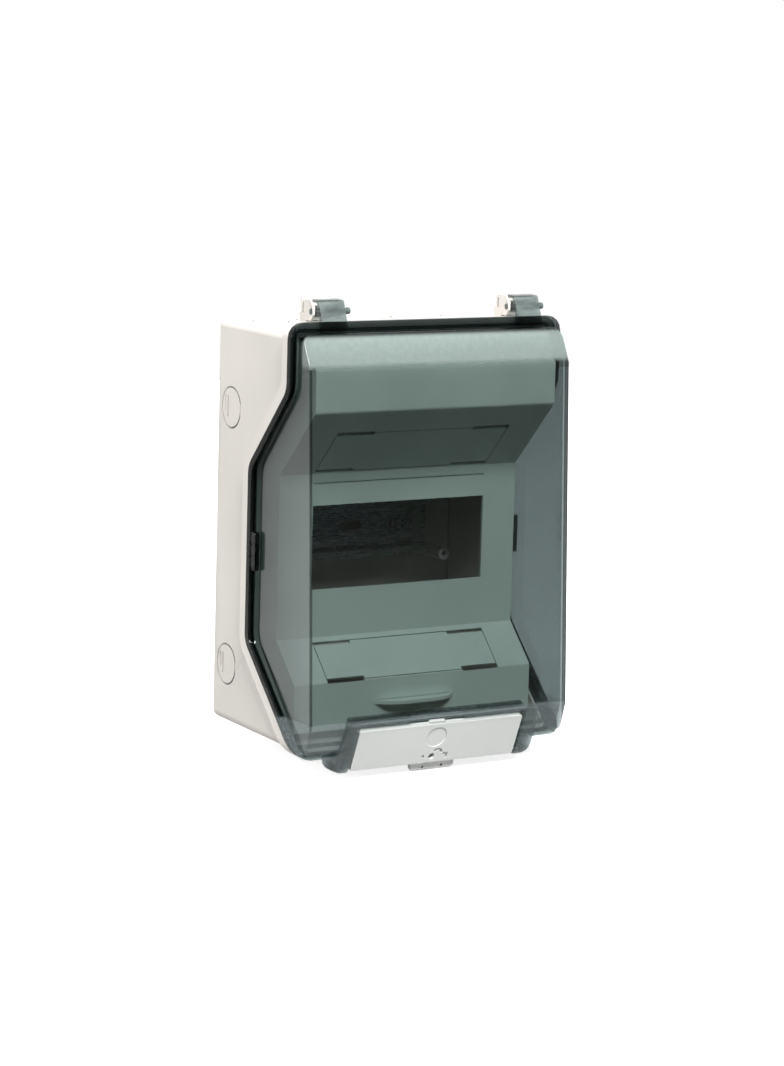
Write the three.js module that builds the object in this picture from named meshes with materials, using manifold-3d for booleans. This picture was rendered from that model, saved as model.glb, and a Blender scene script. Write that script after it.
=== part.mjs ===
// Wall-mounted weatherproof combiner box: a moulded body, a top-hinged smoked door with a
// lever latch, a clip-in inner cover with a six-module window, a DIN rail and terminal bars.
//
// Frame: the origin is the middle of the back (wall) face, +X is right, +Z is up and the
// front faces -Y. Depths below run from the wall towards the front, heights from the middle
// of the back, all in millimetres.

import * as THREE from 'three';
import { mergeVertices } from 'three/addons/utils/BufferGeometryUtils.js';
import Module from 'manifold-3d';

// ---------------------------------------------------------------- driving dimensions

const FIT = 0.3;                 // clearance between pieces that touch
const ARC_STEPS = 4;             // straight pieces in each rounded corner

// Body
const BACK_WIDTH = 152.4;
const BACK_HEIGHT = 222.4;
const BODY_WALL = 2.4;
const BACK_WALL = 3.2;
const BODY_CORNER = 5;
const SIDE_DRAFT = 0.045;        // how much each side leans out for each millimetre of depth
const RIM_BAND = 6;              // thickness of the flared rim
const RIM_PROUD = 4.4;           // how far the rim stands out of the side walls
const RIM_FOOT_PROUD = 1.6;      // and out of the underside
const RIM_CORNER = 8;

// The seam between body and door, seen from the side
const SEAM_TOP_DEPTH = 88;
const SEAM_WAIST_DEPTH = 49;
const SHOULDER_DROP = 30.2;      // of the shoulder below the body's top
const WAIST_TOP = 37;
const WAIST_BOTTOM = -59;
const SEAM_FOOT_DEPTH = 102.5;
const SEAM_BEND = 12;

// Door
const FLANGE = 4;                // thickness of the door's flange
const FLANGE_PROUD = 0.5;        // how far the flange overhangs the body's rim
const DOOR_WALL = 2.2;
const DOOR_INSET = 3.2;          // of the door's sides from the rim's
const DOOR_CORNER = 6;
const DOOR_TOP_RISE = 0.1;       // above the body's top
const DOOR_BROW_REACH = 9.7;     // of the top in front of the seam, where the frosted brow begins
const DOOR_BROW_DROP = 18.5;     // height and run of the brow
const DOOR_BROW_RUN = 9.2;
const DOOR_FRONT_FOOT_RISE = 16.7;  // of the front's lower edge above the body's foot
const DOOR_FRONT_FOOT_REACH = 13.2; // and in front of the seam's foot
const DOOR_KNEE_RISE = 1.2;
const DOOR_KNEE_REACH = 8.8;

// Hinges
const HINGE_SPACING = 122.8;
const HINGE_AXIS_SETBACK = 2;    // behind the seam
const HINGE_AXIS_RISE = 5.3;     // above the rim
const HINGE_PIN_RADIUS = 1.3;
const HINGE_CLIP_WIDTH = 15.5;
const HINGE_CHEEK = 1.4;         // the lug has one cheek, left of the clip
const HINGE_LUG_REACH = 11.6;    // behind the axis
const HINGE_TOP_RISE = 6.2;      // above the axis
const HINGE_STUB = 6.2;          // of the pin beyond the clip
const HINGE_HEAD_RADIUS = 1.8;
const HINGE_HEAD_LENGTH = 1.8;
const CLIP_REACH = 5;            // of the clip's hood in front of the axis
const CLIP_WALL = 1.8;
const CLIP_HEEL = 1.6;           // how far the clip's hood runs behind the axis
const CLIP_CROWN = 0.4;          // how far its top stands above the lug's
const CLIP_BARREL_RADIUS = 3.4;

// Latch
const PLATE_WIDTH = 103.6;
const PLATE_HEIGHT = 25;
const PLATE_THICKNESS = 3.4;
const PLATE_TILT = 22.3;         // degrees that the plate's foot leans back
const PLATE_REACH = 10.1;        // of its middle in front of the seam's foot
const PLATE_RISE = 1.1;          // and above the body's foot
const PLATE_GAP = 1.2;           // between the plate and the sides of its recess
const LATCH_PIN_RADIUS = 0.9;
const LATCH_PIN_LENGTH = 7;
const LATCH_PIN_INSET = 2;       // of the pivot from the plate's foot
const CHIN_BORDER = 10.7;        // of the chin beside the plate
const CHIN_DROP = 11.4;          // below the body's foot
const CHIN_CORNER = 6;
const CHIN_SETBACK = 6.9;        // behind the seam's foot
const BEZEL_BORDER = 7.7;        // of the bezel's top beside the plate
const BEZEL_TOP_RISE = 18.4;     // above the body's foot
const BEZEL_PROUD = 1.6;         // above the plate's face
const RECESS_DEPTH = 8;
const DIMPLE_RADIUS = 6.2;
const DIMPLE_X = -1.5;           // places on the plate, from its middle
const DIMPLE_UP = 4;
const LOCK_RADIUS = 1.8;
const LOCK_X = -1.6;
const LOCK_UP = -8.4;
const LOCK_RELIEF = 0.8;         // depth of the sunk marks beside the lock hole
const HOOK_X = -2.3;
const HOOK_WIDTH = 10;
const HOOK_REACH = 1.2;          // beyond the plate's top edge
const HOOK_SLOT = 33;            // width of the slot it stands in
const LEDGE_HEIGHT = 4;          // of the step above the plate
const LEDGE_DEPTH = 1.6;
const KEEPER_X = 2.2;
const KEEPER_WIDTH = 28;
const KEEPER_DROP = 15.2;        // below the body's foot
const KEEPER_THICKNESS = 2.2;
const SEAL_HOLE_SPACING = 12;
const SEAL_HOLE_RADIUS = 0.75;

// Side catches
const CATCH_CENTRE = -9;
const CATCH_HEIGHT = 21;
const CATCH_TEETH = 3;
const CATCH_TOOTH_SLACK = 1.2;
const COMB_THICKNESS = 1.5;
const COMB_INSET = 1.2;          // of the comb from the rim's outside
const COMB_SEAT = 1.9;           // how deep the comb sits in the rim

// Gasket
const GASKET_EDGE = 3.6;         // of its groove from the rim's outside
const GASKET_WIDTH = 1.8;
const GASKET_SEAT = 1.9;         // depth of its groove

// Inner cover
const COVER_WALL = 2;
const PANEL_REACH = 18.3;        // of the panel in front of the seam's waist
const PANEL_TOP_DROP = 4;        // inside the ends of the waist
const PANEL_FOOT_RISE = 2.7;
const COVER_BROW_REACH = 14.8;   // in front of the seam's top
const COVER_BROW_FOOT_DROP = 41.2;  // below the body's top
const COVER_BROW_TOP_DROP = 19.2;
const COVER_CROWN_REACH = 6.2;
const COVER_CROWN_DROP = 3.4;
const COVER_LAP_SETBACK = 14.9;  // behind the seam's foot
const COVER_LAP_TOP_RISE = 33.9; // above the body's foot
const COVER_FOOT_RISE = 5.2;
const COVER_TUCK = 4;            // how far the cover's edge sits behind the seam
const MODULE_WIDTH = 18;
const MODULES = 6;
const WINDOW_SLACK = 1;
const WINDOW_HEIGHT = 46;
const WINDOW_CENTRE = -7.5;
const GROOVE_HEIGHT = 27.6;
const GROOVE_WIDTH = 0.7;
const GROOVE_DEPTH = 0.6;
const LIP_WIDTH = 50;
const LIP_REACH = 6.6;
const LIP_THICKNESS = 2;
const LIP_RISE = 21.8;           // above the body's foot

// Blanking plates of the inner cover
const BLANK_WIDTH = 109;
const BLANK_GAP = 0.35;
const BLANK_SLOT = 23;
const BLANK_SLOT_HEIGHT = 1.7;
const BLANK_NOTCH = 3.4;
const UPPER_BLANK_START = 0.9;
const UPPER_BLANK_MARGIN = 17.9; // between the plate and the end of its slope
const LOWER_BLANK_START = 3.2;
const LOWER_BLANK_MARGIN = 0.6;

// Back-wall mouldings
const WALL_HOLE_FROM_SIDE = 18.2;
const WALL_HOLE_FROM_END = 19.2;
const WALL_HOLE_RADIUS = 2.6;
const POST_SPACING = 112;
const POST_HEIGHT = -23.5;
const POST_RADIUS = 3.6;
const POST_DEPTH = 27;
const POST_HOLE_RADIUS = 1.6;
const POST_HOLE_DEPTH = 9;
const BOSS_RADIUS = 5;

// Knockouts: rings cut part way into the walls
const KNOCKOUT_RADIUS = 11.6;
const KNOCKOUT_RING = 0.9;
const KNOCKOUT_DEPTH = 1;
const KNOCKOUT_FROM_WALL = 15;
const KNOCKOUT_MARK_WIDTH = 0.8;
// Two short upright grooves in each: how far behind the middle, and their lower and upper ends
const KNOCKOUT_MARKS = [[6.3, -2.3, 6], [3.7, -5.3, 6]];
const UPPER_KNOCKOUT_DROP = 47.7;   // below the body's top
const LOWER_KNOCKOUT_RISE = 32.7;   // above its foot
const END_KNOCKOUT_RADII = [10.2, 12.7, 16.2, 12.7, 10.2];
const END_KNOCKOUT_PITCH = 30;
const END_KNOCKOUT_FROM_WALL = 27;

// DIN rail, 35 mm top-hat section
const RAIL_LENGTH = 100;
const RAIL_HEIGHT = 35;
const RAIL_CHANNEL = 27;
const RAIL_DEPTH = 7.5;
const RAIL_STEEL = 1;
const RAIL_FACE_DEPTH = 22;
const RAIL_CENTRE = -6.2;
const RAIL_FIXING_SPACING = 66;
const RAIL_SLOT = 15;
const RAIL_SLOT_WIDTH = 5.2;
const RAIL_SCREW_HEAD_RADIUS = 4;
const RAIL_SCREW_HEAD = 2.2;
const RAIL_SCREW_RADIUS = 2;
const RAIL_SCREW_LENGTH = 7;

// Terminal bars
const BAR_LENGTH = 84;
const BAR_WIDTH = 9;
const BAR_THICKNESS = 6.5;
const BAR_WAYS = 5;
const BAR_PITCH = 15;
const BAR_HOLE_RADIUS = 2.3;
const BAR_SCREW_RADIUS = 2;
const BAR_SCREW_HEAD_RADIUS = 2.9;
const CARRIER_LENGTH = 96;
const CARRIER_WIDTH = 14;
const CARRIER_FOOT = 6;
const UPPER_BAR_DROP = 39.2;     // below the body's top
const LOWER_BAR_RISE = 27.2;     // above its foot

// ---------------------------------------------------------------- booleans

const wasm = await Module();
wasm.setup();

function solid(geometry) {
  const bare = geometry.index ? geometry.toNonIndexed() : geometry.clone();
  bare.deleteAttribute('normal');
  bare.deleteAttribute('uv');
  const merged = mergeVertices(bare, 1e-4);
  return new wasm.Manifold(new wasm.Mesh({
    numProp: 3,
    vertProperties: new Float32Array(merged.attributes.position.array),
    triVerts: new Uint32Array(merged.index.array),
  }));
}

function union(solids) {
  return solids.reduce((whole, piece) => whole.add(piece));
}

function geometryOf(body) {
  const mesh = body.getMesh();
  const geometry = new THREE.BufferGeometry();
  geometry.setAttribute('position', new THREE.BufferAttribute(mesh.vertProperties, 3));
  geometry.setIndex(new THREE.BufferAttribute(mesh.triVerts, 1));
  geometry.computeVertexNormals();
  return geometry;
}

// ---------------------------------------------------------------- outlines

// A closed outline from corners [across, up, radius], each rounded by its radius.
function outline(corners) {
  const shape = new THREE.Shape();
  corners.forEach(([across, up, radius = 0], i) => {
    const corner = new THREE.Vector2(across, up);
    const before = corners[(i + corners.length - 1) % corners.length];
    const after = corners[(i + 1) % corners.length];
    const back = new THREE.Vector2(before[0], before[1]).sub(corner).normalize();
    const on = new THREE.Vector2(after[0], after[1]).sub(corner).normalize();
    const half = Math.acos(THREE.MathUtils.clamp(back.dot(on), -1, 1)) / 2;
    const points = [];
    if (radius > 0) {
      const reach = radius / Math.tan(half);
      const centre = back.clone().add(on).normalize().multiplyScalar(radius / Math.sin(half)).add(corner);
      const from = back.clone().multiplyScalar(reach).add(corner).sub(centre);
      const to = on.clone().multiplyScalar(reach).add(corner).sub(centre);
      const sweep = Math.atan2(from.cross(to), from.dot(to));
      for (let step = 0; step <= ARC_STEPS; step += 1) {
        points.push(from.clone().rotateAround(new THREE.Vector2(), sweep * step / ARC_STEPS).add(centre));
      }
    } else {
      points.push(corner);
    }
    points.forEach((point, j) => {
      if (i === 0 && j === 0) {
        shape.moveTo(point.x, point.y);
      } else {
        shape.lineTo(point.x, point.y);
      }
    });
  });
  shape.closePath();
  return shape;
}

function rectangle(left, bottom, right, top, radius = 0) {
  return outline([
    [left, bottom, radius], [right, bottom, radius], [right, top, radius], [left, top, radius],
  ]);
}

function disc(across, up, radius, sides = 24) {
  const shape = new THREE.Shape();
  for (let i = 0; i < sides; i += 1) {
    const angle = 2 * Math.PI * i / sides;
    const point = [across + radius * Math.cos(angle), up + radius * Math.sin(angle)];
    if (i === 0) {
      shape.moveTo(...point);
    } else {
      shape.lineTo(...point);
    }
  }
  shape.closePath();
  return shape;
}

// Moves a line of points sideways, to its left as it runs, keeping its corners sharp.
function beside(line, distance) {
  return line.map(([across, up], i) => {
    const here = new THREE.Vector2(across, up);
    const normals = [];
    [[i - 1, i], [i, i + 1]].forEach(([a, b]) => {
      if (a >= 0 && b < line.length) {
        const run = new THREE.Vector2(line[b][0] - line[a][0], line[b][1] - line[a][1]).normalize();
        normals.push(new THREE.Vector2(-run.y, run.x));
      }
    });
    const sum = normals.reduce((total, normal) => total.add(normal), new THREE.Vector2()).normalize();
    const moved = here.add(sum.multiplyScalar(distance / sum.dot(normals[0])));
    return [moved.x, moved.y];
  });
}

// ---------------------------------------------------------------- extrusions

// [depth, height] outline, run across the box between two x positions
function acrossBox(shape, left, right) {
  const geometry = new THREE.ExtrudeGeometry(shape, { depth: right - left, bevelEnabled: false });
  const turn = new THREE.Matrix4().makeBasis(
    new THREE.Vector3(0, -1, 0), new THREE.Vector3(0, 0, 1), new THREE.Vector3(-1, 0, 0),
  );
  return geometry.applyMatrix4(turn).translate(right, 0, 0);
}

// [x, height] outline, run forwards between two depths
function forwards(shape, from, to) {
  const geometry = new THREE.ExtrudeGeometry(shape, { depth: to - from, bevelEnabled: false });
  return geometry.rotateX(Math.PI / 2).translate(0, -from, 0);
}

// [x, depth] outline, run upwards between two heights
function upwards(shape, from, to) {
  const geometry = new THREE.ExtrudeGeometry(shape, { depth: to - from, bevelEnabled: false });
  const turn = new THREE.Matrix4().makeBasis(
    new THREE.Vector3(1, 0, 0), new THREE.Vector3(0, -1, 0), new THREE.Vector3(0, 0, -1),
  );
  return geometry.applyMatrix4(turn).translate(0, 0, to);
}

function boxAt(x, depth, height, width, thickness, tall) {
  return new THREE.BoxGeometry(width, thickness, tall).translate(x, -depth, height);
}

function rodAcross(radius, left, right, depth, height, sides = 16) {
  return new THREE.CylinderGeometry(radius, radius, right - left, sides)
    .rotateZ(Math.PI / 2)
    .translate((left + right) / 2, -depth, height);
}

function rodForwards(radius, from, to, x, height, sides = 16) {
  return new THREE.CylinderGeometry(radius, radius, to - from, sides)
    .translate(0, -(from + to) / 2, 0)
    .translate(x, 0, height);
}

// A rounded block whose sides lean out towards the front
function draftedBlock(halfWidth, halfHeight, corner, from, to, draft) {
  const geometry = forwards(rectangle(-halfWidth, -halfHeight, halfWidth, halfHeight, corner), from, to);
  const position = geometry.attributes.position;
  for (let i = 0; i < position.count; i += 1) {
    const lean = draft * (-position.getY(i) - from);
    position.setX(i, position.getX(i) + Math.sign(position.getX(i)) * lean);
  }
  return geometry;
}

// ---------------------------------------------------------------- shared lines

const halfBack = BACK_WIDTH / 2;
const bodyTop = BACK_HEIGHT / 2;
const rimTop = bodyTop + RIM_PROUD + 0.9;
const rimFoot = -bodyTop - RIM_FOOT_PROUD;
const seamMiddleHalf = halfBack + SIDE_DRAFT * SEAM_TOP_DEPTH;
const rimHalf = seamMiddleHalf + RIM_PROUD;
const flangeHalf = rimHalf + FLANGE_PROUD;
const combMiddle = rimHalf - COMB_INSET - COMB_THICKNESS / 2;
const PAST = 30;                 // how far cutters run past what they cut

const shoulder = bodyTop - SHOULDER_DROP;
const doorHalf = rimHalf - DOOR_INSET;
const doorTop = bodyTop + DOOR_TOP_RISE;
const browDepth = SEAM_TOP_DEPTH + DOOR_BROW_REACH;
const frontTop = doorTop - DOOR_BROW_DROP;
const frontTopDepth = browDepth + DOOR_BROW_RUN;
const frontFoot = DOOR_FRONT_FOOT_RISE - bodyTop;
const frontFootDepth = SEAM_FOOT_DEPTH + DOOR_FRONT_FOOT_REACH;
const knee = DOOR_KNEE_RISE - bodyTop;
const kneeDepth = SEAM_FOOT_DEPTH + DOOR_KNEE_REACH;
const hingeDepth = SEAM_TOP_DEPTH - HINGE_AXIS_SETBACK;
const hingeHeight = rimTop + HINGE_AXIS_RISE;
const hingeTop = hingeHeight + HINGE_TOP_RISE;
const lugBack = hingeDepth - HINGE_LUG_REACH;
const plateDepth = SEAM_FOOT_DEPTH + PLATE_REACH;
const plateMiddle = PLATE_RISE - bodyTop;
const chinWidth = PLATE_WIDTH + 2 * CHIN_BORDER;
const chinFoot = -bodyTop - CHIN_DROP;
const chinBack = SEAM_FOOT_DEPTH - CHIN_SETBACK;
const bezelWidth = PLATE_WIDTH + 2 * BEZEL_BORDER;
const bezelTop = BEZEL_TOP_RISE - bodyTop;
const keeperFoot = -bodyTop - KEEPER_DROP;
const panelDepth = SEAM_WAIST_DEPTH + PANEL_REACH;
const panelTop = WAIST_TOP - PANEL_TOP_DROP;
const panelFoot = WAIST_BOTTOM + PANEL_FOOT_RISE;
const coverBrowDepth = SEAM_TOP_DEPTH + COVER_BROW_REACH;
const coverBrowFoot = bodyTop - COVER_BROW_FOOT_DROP;
const coverBrowTop = bodyTop - COVER_BROW_TOP_DROP;
const crownDepth = SEAM_TOP_DEPTH + COVER_CROWN_REACH;
const crown = bodyTop - COVER_CROWN_DROP;
const lapDepth = SEAM_FOOT_DEPTH - COVER_LAP_SETBACK;
const lapTop = COVER_LAP_TOP_RISE - bodyTop;
const coverFoot = COVER_FOOT_RISE - bodyTop;
const lipHeight = LIP_RISE - bodyTop;
// The cover's sides clear the body's inside where its edge tucks in deepest
const tuckDepth = SEAM_WAIST_DEPTH - COVER_TUCK;
const coverHalf = halfBack - BODY_WALL + SIDE_DRAFT * (tuckDepth - BACK_WALL) - FIT;

const footSlope = (SEAM_FOOT_DEPTH - SEAM_WAIST_DEPTH) / (WAIST_BOTTOM - rimFoot);

// The seam from top to foot, carried on past both ends
const seam = [
  [SEAM_TOP_DEPTH, rimTop + PAST],
  [SEAM_TOP_DEPTH, shoulder],
  [SEAM_WAIST_DEPTH, WAIST_TOP],
  [SEAM_WAIST_DEPTH, WAIST_BOTTOM],
  [SEAM_FOOT_DEPTH + PAST * footSlope, rimFoot - PAST],
];

// A band that follows the seam, between two distances in front of it
function seamBand(near, far) {
  const bend = (line, base) => line.map(([depth, height], i) => {
    const turns = [0, base, base, base, 0];
    return [depth, height, turns[i]];
  });
  const back = bend(beside(seam, near), SEAM_BEND);
  const front = bend(beside(seam, far), SEAM_BEND);
  return outline([...back, ...front.reverse()]);
}

function seamBandSolid(near, far) {
  return solid(acrossBox(seamBand(near, far), -flangeHalf - PAST, flangeHalf + PAST));
}

function rimOutline(grow) {
  return rectangle(
    -rimHalf - grow, rimFoot - grow, rimHalf + grow, rimTop + grow, RIM_CORNER + grow,
  );
}

function throughRim(shape) {
  return solid(forwards(shape, 0, SEAM_FOOT_DEPTH + PAST));
}

// ---------------------------------------------------------------- body

function knockout(radius) {
  const ring = disc(0, 0, radius);
  ring.holes.push(disc(0, 0, radius - KNOCKOUT_RING));
  return ring;
}

function sideKnockouts() {
  const cuts = [];
  const marks = KNOCKOUT_MARKS.map(([behind, low, high]) => (
    rectangle(behind, low, behind + KNOCKOUT_MARK_WIDTH, high)
  ));
  [-1, 1].forEach((side) => {
    [-1, 1].forEach((end) => {
      const height = end > 0 ? bodyTop - UPPER_KNOCKOUT_DROP : LOWER_KNOCKOUT_RISE - bodyTop;
      const face = halfBack + SIDE_DRAFT * KNOCKOUT_FROM_WALL;
      const lean = side * Math.atan(SIDE_DRAFT);
      [knockout(KNOCKOUT_RADIUS), ...marks].forEach((mark) => {
        const cutter = new THREE.ExtrudeGeometry(mark, { depth: 2 * KNOCKOUT_DEPTH, bevelEnabled: false });
        cutter.translate(0, 0, -KNOCKOUT_DEPTH).rotateX(Math.PI / 2).rotateZ(Math.PI / 2);
        cutter.rotateZ(-lean).translate(side * face, -KNOCKOUT_FROM_WALL, height);
        cuts.push(solid(cutter));
      });
    });
  });
  return cuts;
}

function endKnockouts() {
  const cuts = [];
  [-1, 1].forEach((end) => {
    END_KNOCKOUT_RADII.forEach((radius, i) => {
      const x = (i - (END_KNOCKOUT_RADII.length - 1) / 2) * END_KNOCKOUT_PITCH;
      const height = end * bodyTop;
      const cutter = upwards(knockout(radius), height - KNOCKOUT_DEPTH, height + KNOCKOUT_DEPTH);
      cuts.push(solid(cutter.translate(x, -END_KNOCKOUT_FROM_WALL, 0)));
    });
  });
  return cuts;
}

function wallHoles() {
  return [-1, 1].flatMap((side) => [-1, 1].map((end) => {
    const x = side * (halfBack - WALL_HOLE_FROM_SIDE);
    const height = end * (bodyTop - WALL_HOLE_FROM_END);
    return solid(rodForwards(WALL_HOLE_RADIUS, -1, BACK_WALL + PAST, x, height));
  }));
}

function bodyShell() {
  const profile = outline([
    [0, -bodyTop, 2],
    [SEAM_FOOT_DEPTH - RIM_FOOT_PROUD * footSlope, -bodyTop],
    [SEAM_WAIST_DEPTH, WAIST_BOTTOM, SEAM_BEND],
    [SEAM_WAIST_DEPTH, WAIST_TOP, SEAM_BEND],
    [SEAM_TOP_DEPTH, shoulder, SEAM_BEND],
    [SEAM_TOP_DEPTH, bodyTop],
    [0, bodyTop, 2],
  ]);
  const deep = SEAM_FOOT_DEPTH + PAST;
  const block = draftedBlock(halfBack, bodyTop, BODY_CORNER, 0, deep, SIDE_DRAFT);
  const hollow = draftedBlock(
    halfBack - BODY_WALL, bodyTop - BODY_WALL, BODY_CORNER - BODY_WALL, BACK_WALL, deep, SIDE_DRAFT,
  );
  const cavity = solid(hollow);
  const walls = solid(block).intersect(solid(acrossBox(profile, -flangeHalf, flangeHalf)));
  const rim = seamBandSolid(-RIM_BAND, 0).intersect(throughRim(rimOutline(0)));
  const grooveOuter = throughRim(rimOutline(-GASKET_EDGE));
  const grooveInner = throughRim(rimOutline(-GASKET_EDGE - GASKET_WIDTH));
  const groove = seamBandSolid(-GASKET_SEAT, PAST).intersect(grooveOuter.subtract(grooveInner));
  const posts = [-1, 1].map((side) => {
    const x = side * POST_SPACING / 2;
    const post = solid(rodForwards(POST_RADIUS, BACK_WALL - 1, POST_DEPTH, x, POST_HEIGHT, 20));
    const bottom = POST_DEPTH - POST_HOLE_DEPTH;
    const hole = rodForwards(POST_HOLE_RADIUS, bottom, POST_DEPTH + 1, x, POST_HEIGHT, 12);
    return post.subtract(solid(hole));
  });
  const bosses = [-1, 1].map((side) => {
    const x = side * RAIL_FIXING_SPACING / 2;
    const face = RAIL_FACE_DEPTH - RAIL_DEPTH - FIT;
    const boss = solid(rodForwards(BOSS_RADIUS, BACK_WALL - 1, face, x, RAIL_CENTRE, 20));
    const hole = RAIL_SCREW_RADIUS + FIT;
    return boss.subtract(solid(rodForwards(hole, face - RAIL_SCREW_LENGTH, face + 1, x, RAIL_CENTRE, 16)));
  });
  const seats = [-1, 1].map((side) => combSeat(side));
  const cuts = [groove, ...seats, ...sideKnockouts(), ...endKnockouts(), ...wallHoles()];
  const shell = union([walls, rim]).subtract(cavity);
  return union([shell, ...posts, ...bosses]).subtract(union(cuts));
}

// ---------------------------------------------------------------- gasket

function gasket() {
  const outer = throughRim(rimOutline(-GASKET_EDGE - FIT));
  const inner = throughRim(rimOutline(-GASKET_EDGE - GASKET_WIDTH + FIT));
  return seamBandSolid(-GASKET_SEAT + FIT, 0).intersect(outer.subtract(inner));
}

// ---------------------------------------------------------------- latch frame

const tilt = THREE.MathUtils.degToRad(PLATE_TILT);
// Where the plate's own axes point, as [depth, height]
const plateUp = [Math.sin(tilt), Math.cos(tilt)];
const plateOut = [Math.cos(tilt), -Math.sin(tilt)];

// A place on the plate: how far up it, and how far out of its face, as [depth, height]
function onPlate(up, out) {
  return [
    plateDepth + up * plateUp[0] + out * plateOut[0],
    plateMiddle + up * plateUp[1] + out * plateOut[1],
  ];
}

const platePivot = onPlate(-PLATE_HEIGHT / 2 + LATCH_PIN_INSET, -PLATE_THICKNESS / 2);

// Turns a shape drawn on the plate's face [x, up] and run outwards into the box's frame
function fromPlate(geometry) {
  const [depth, height] = onPlate(0, 0);
  return geometry.rotateX(Math.PI / 2 + tilt).translate(0, -depth, height);
}

function onFace(shape, from, to) {
  const geometry = new THREE.ExtrudeGeometry(shape, { depth: to - from, bevelEnabled: false });
  return fromPlate(geometry.translate(0, 0, from));
}

// ---------------------------------------------------------------- door

// The door's front from top to foot, carried back to the wall behind the seam
const doorFront = [
  [0, doorTop],
  [browDepth, doorTop],
  [frontTopDepth, frontTop],
  [frontFootDepth, frontFoot],
  [kneeDepth, knee],
  [SEAM_FOOT_DEPTH, rimFoot],
  [0, rimFoot - PAST],
];
const doorBends = [0, 3, 4, 3, 4, 0, 0];

function doorBlock(inset) {
  const front = beside(doorFront, -inset).map(([depth, height], i) => [
    depth, height, Math.max(0, doorBends[i] - inset * Math.sign(doorBends[i])),
  ]);
  const side = solid(acrossBox(outline(front.reverse()), -flangeHalf, flangeHalf));
  const half = doorHalf - inset;
  const face = rectangle(-half, rimFoot + inset, half, doorTop - inset, DOOR_CORNER - inset);
  return side.intersect(throughRim(face));
}

// The recess for the latch plate, grown on all sides by a wall
function latchRecess(wall) {
  const half = PLATE_WIDTH / 2 + PLATE_GAP + wall;
  const top = PLATE_HEIGHT / 2 + PLATE_GAP + wall;
  return union([
    solid(onFace(rectangle(-half, -PAST, half, top), -RECESS_DEPTH - wall, PAST)),
    solid(onFace(rectangle(-half, -PAST, half, top + LEDGE_HEIGHT), -LEDGE_DEPTH - wall, PAST)),
  ]);
}

function latchBezel() {
  const faceTop = (bezelTop - plateMiddle) / Math.cos(tilt);
  const side = outline([
    [chinBack, knee],
    [chinBack, chinFoot, 5],
    [onPlate(-PLATE_HEIGHT / 2 - 0.6, 0)[0], chinFoot, 3],
    [...onPlate(faceTop, BEZEL_PROUD), 1],
    [frontFootDepth - 4, bezelTop, 0],
  ]);
  const front = outline([
    [-bezelWidth / 2, bezelTop, 1.5],
    [-chinWidth / 2, knee, 1],
    [-chinWidth / 2, chinFoot, CHIN_CORNER],
    [chinWidth / 2, chinFoot, CHIN_CORNER],
    [chinWidth / 2, knee, 1],
    [bezelWidth / 2, bezelTop, 1.5],
  ]);
  const bezel = solid(acrossBox(side, -chinWidth, chinWidth)).intersect(throughRim(front));
  const belowRim = rimFoot - FLANGE_PROUD - 2 * FIT;
  const under = solid(boxAt(0, SEAM_FOOT_DEPTH, belowRim - PAST, 2 * chinWidth, 2 * PAST, 2 * PAST));
  return bezel.intersect(seamBandSolid(FIT, 3 * PAST)).add(bezel.intersect(under));
}

function catchSlots(slack) {
  const pitch = CATCH_HEIGHT / CATCH_TEETH;
  return Array.from({ length: CATCH_TEETH }, (_, i) => {
    const height = CATCH_CENTRE + (i - (CATCH_TEETH - 1) / 2) * pitch;
    return { height, tall: pitch * 0.62 + 2 * slack };
  });
}

function doorShell() {
  const flange = seamBandSolid(FIT, FIT + FLANGE).intersect(throughRim(rimOutline(FLANGE_PROUD)));
  const front = seamBandSolid(FIT, 3 * PAST);
  const outside = union([doorBlock(0).intersect(front), flange, latchBezel()]);
  const hollow = doorBlock(DOOR_WALL).subtract(latchRecess(DOOR_WALL));
  const slotTop = PLATE_HEIGHT / 2 + LEDGE_HEIGHT - 0.4;
  const slotShape = rectangle(
    HOOK_X - HOOK_SLOT / 2, PLATE_HEIGHT / 2 - 3, HOOK_X + HOOK_SLOT / 2, slotTop, 1,
  );
  const hookSlot = solid(onFace(slotShape, -RECESS_DEPTH, PAST));
  const keeperTall = 2 * (rimFoot - FLANGE_PROUD - 2 - keeperFoot);
  const keeperWay = solid(boxAt(
    KEEPER_X, SEAM_FOOT_DEPTH, keeperFoot + 1, KEEPER_WIDTH + 3, 2 * PAST, keeperTall,
  ));
  const pinHoles = [-1, 1].map((side) => {
    const start = side * (PLATE_WIDTH / 2 - 1);
    const end = side * (PLATE_WIDTH / 2 + PLATE_GAP + LATCH_PIN_LENGTH / 2 + FIT);
    return solid(rodAcross(
      LATCH_PIN_RADIUS + FIT, Math.min(start, end), Math.max(start, end), ...platePivot, 16,
    ));
  });
  const windowWidth = COMB_THICKNESS + 2 * FIT;
  const windowDepth = 2 * FLANGE + 4 * FIT;
  const toothWindows = [-1, 1].flatMap((side) => catchSlots(CATCH_TOOTH_SLACK).map((slot) => solid(
    boxAt(side * combMiddle, SEAM_WAIST_DEPTH, slot.height, windowWidth, windowDepth, slot.tall),
  )));
  const cuts = [hollow, latchRecess(0), hookSlot, keeperWay, ...pinHoles, ...toothWindows];
  return outside.subtract(union(cuts));
}

// ---------------------------------------------------------------- side catches

function catchBlock(side) {
  const back = SEAM_WAIST_DEPTH + 2 * FIT + FLANGE;
  const shape = outline([
    [back, CATCH_CENTRE - CATCH_HEIGHT / 2, 0],
    [back + 4.6, CATCH_CENTRE - CATCH_HEIGHT / 2, 1.5],
    [back + 4.6, CATCH_CENTRE + CATCH_HEIGHT / 2, 1.5],
    [back, CATCH_CENTRE + CATCH_HEIGHT / 2, 0],
  ]);
  const inner = doorHalf + FIT;
  const outer = flangeHalf - 0.6;
  return solid(acrossBox(shape, side > 0 ? inner : -outer, side > 0 ? outer : -inner));
}

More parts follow.
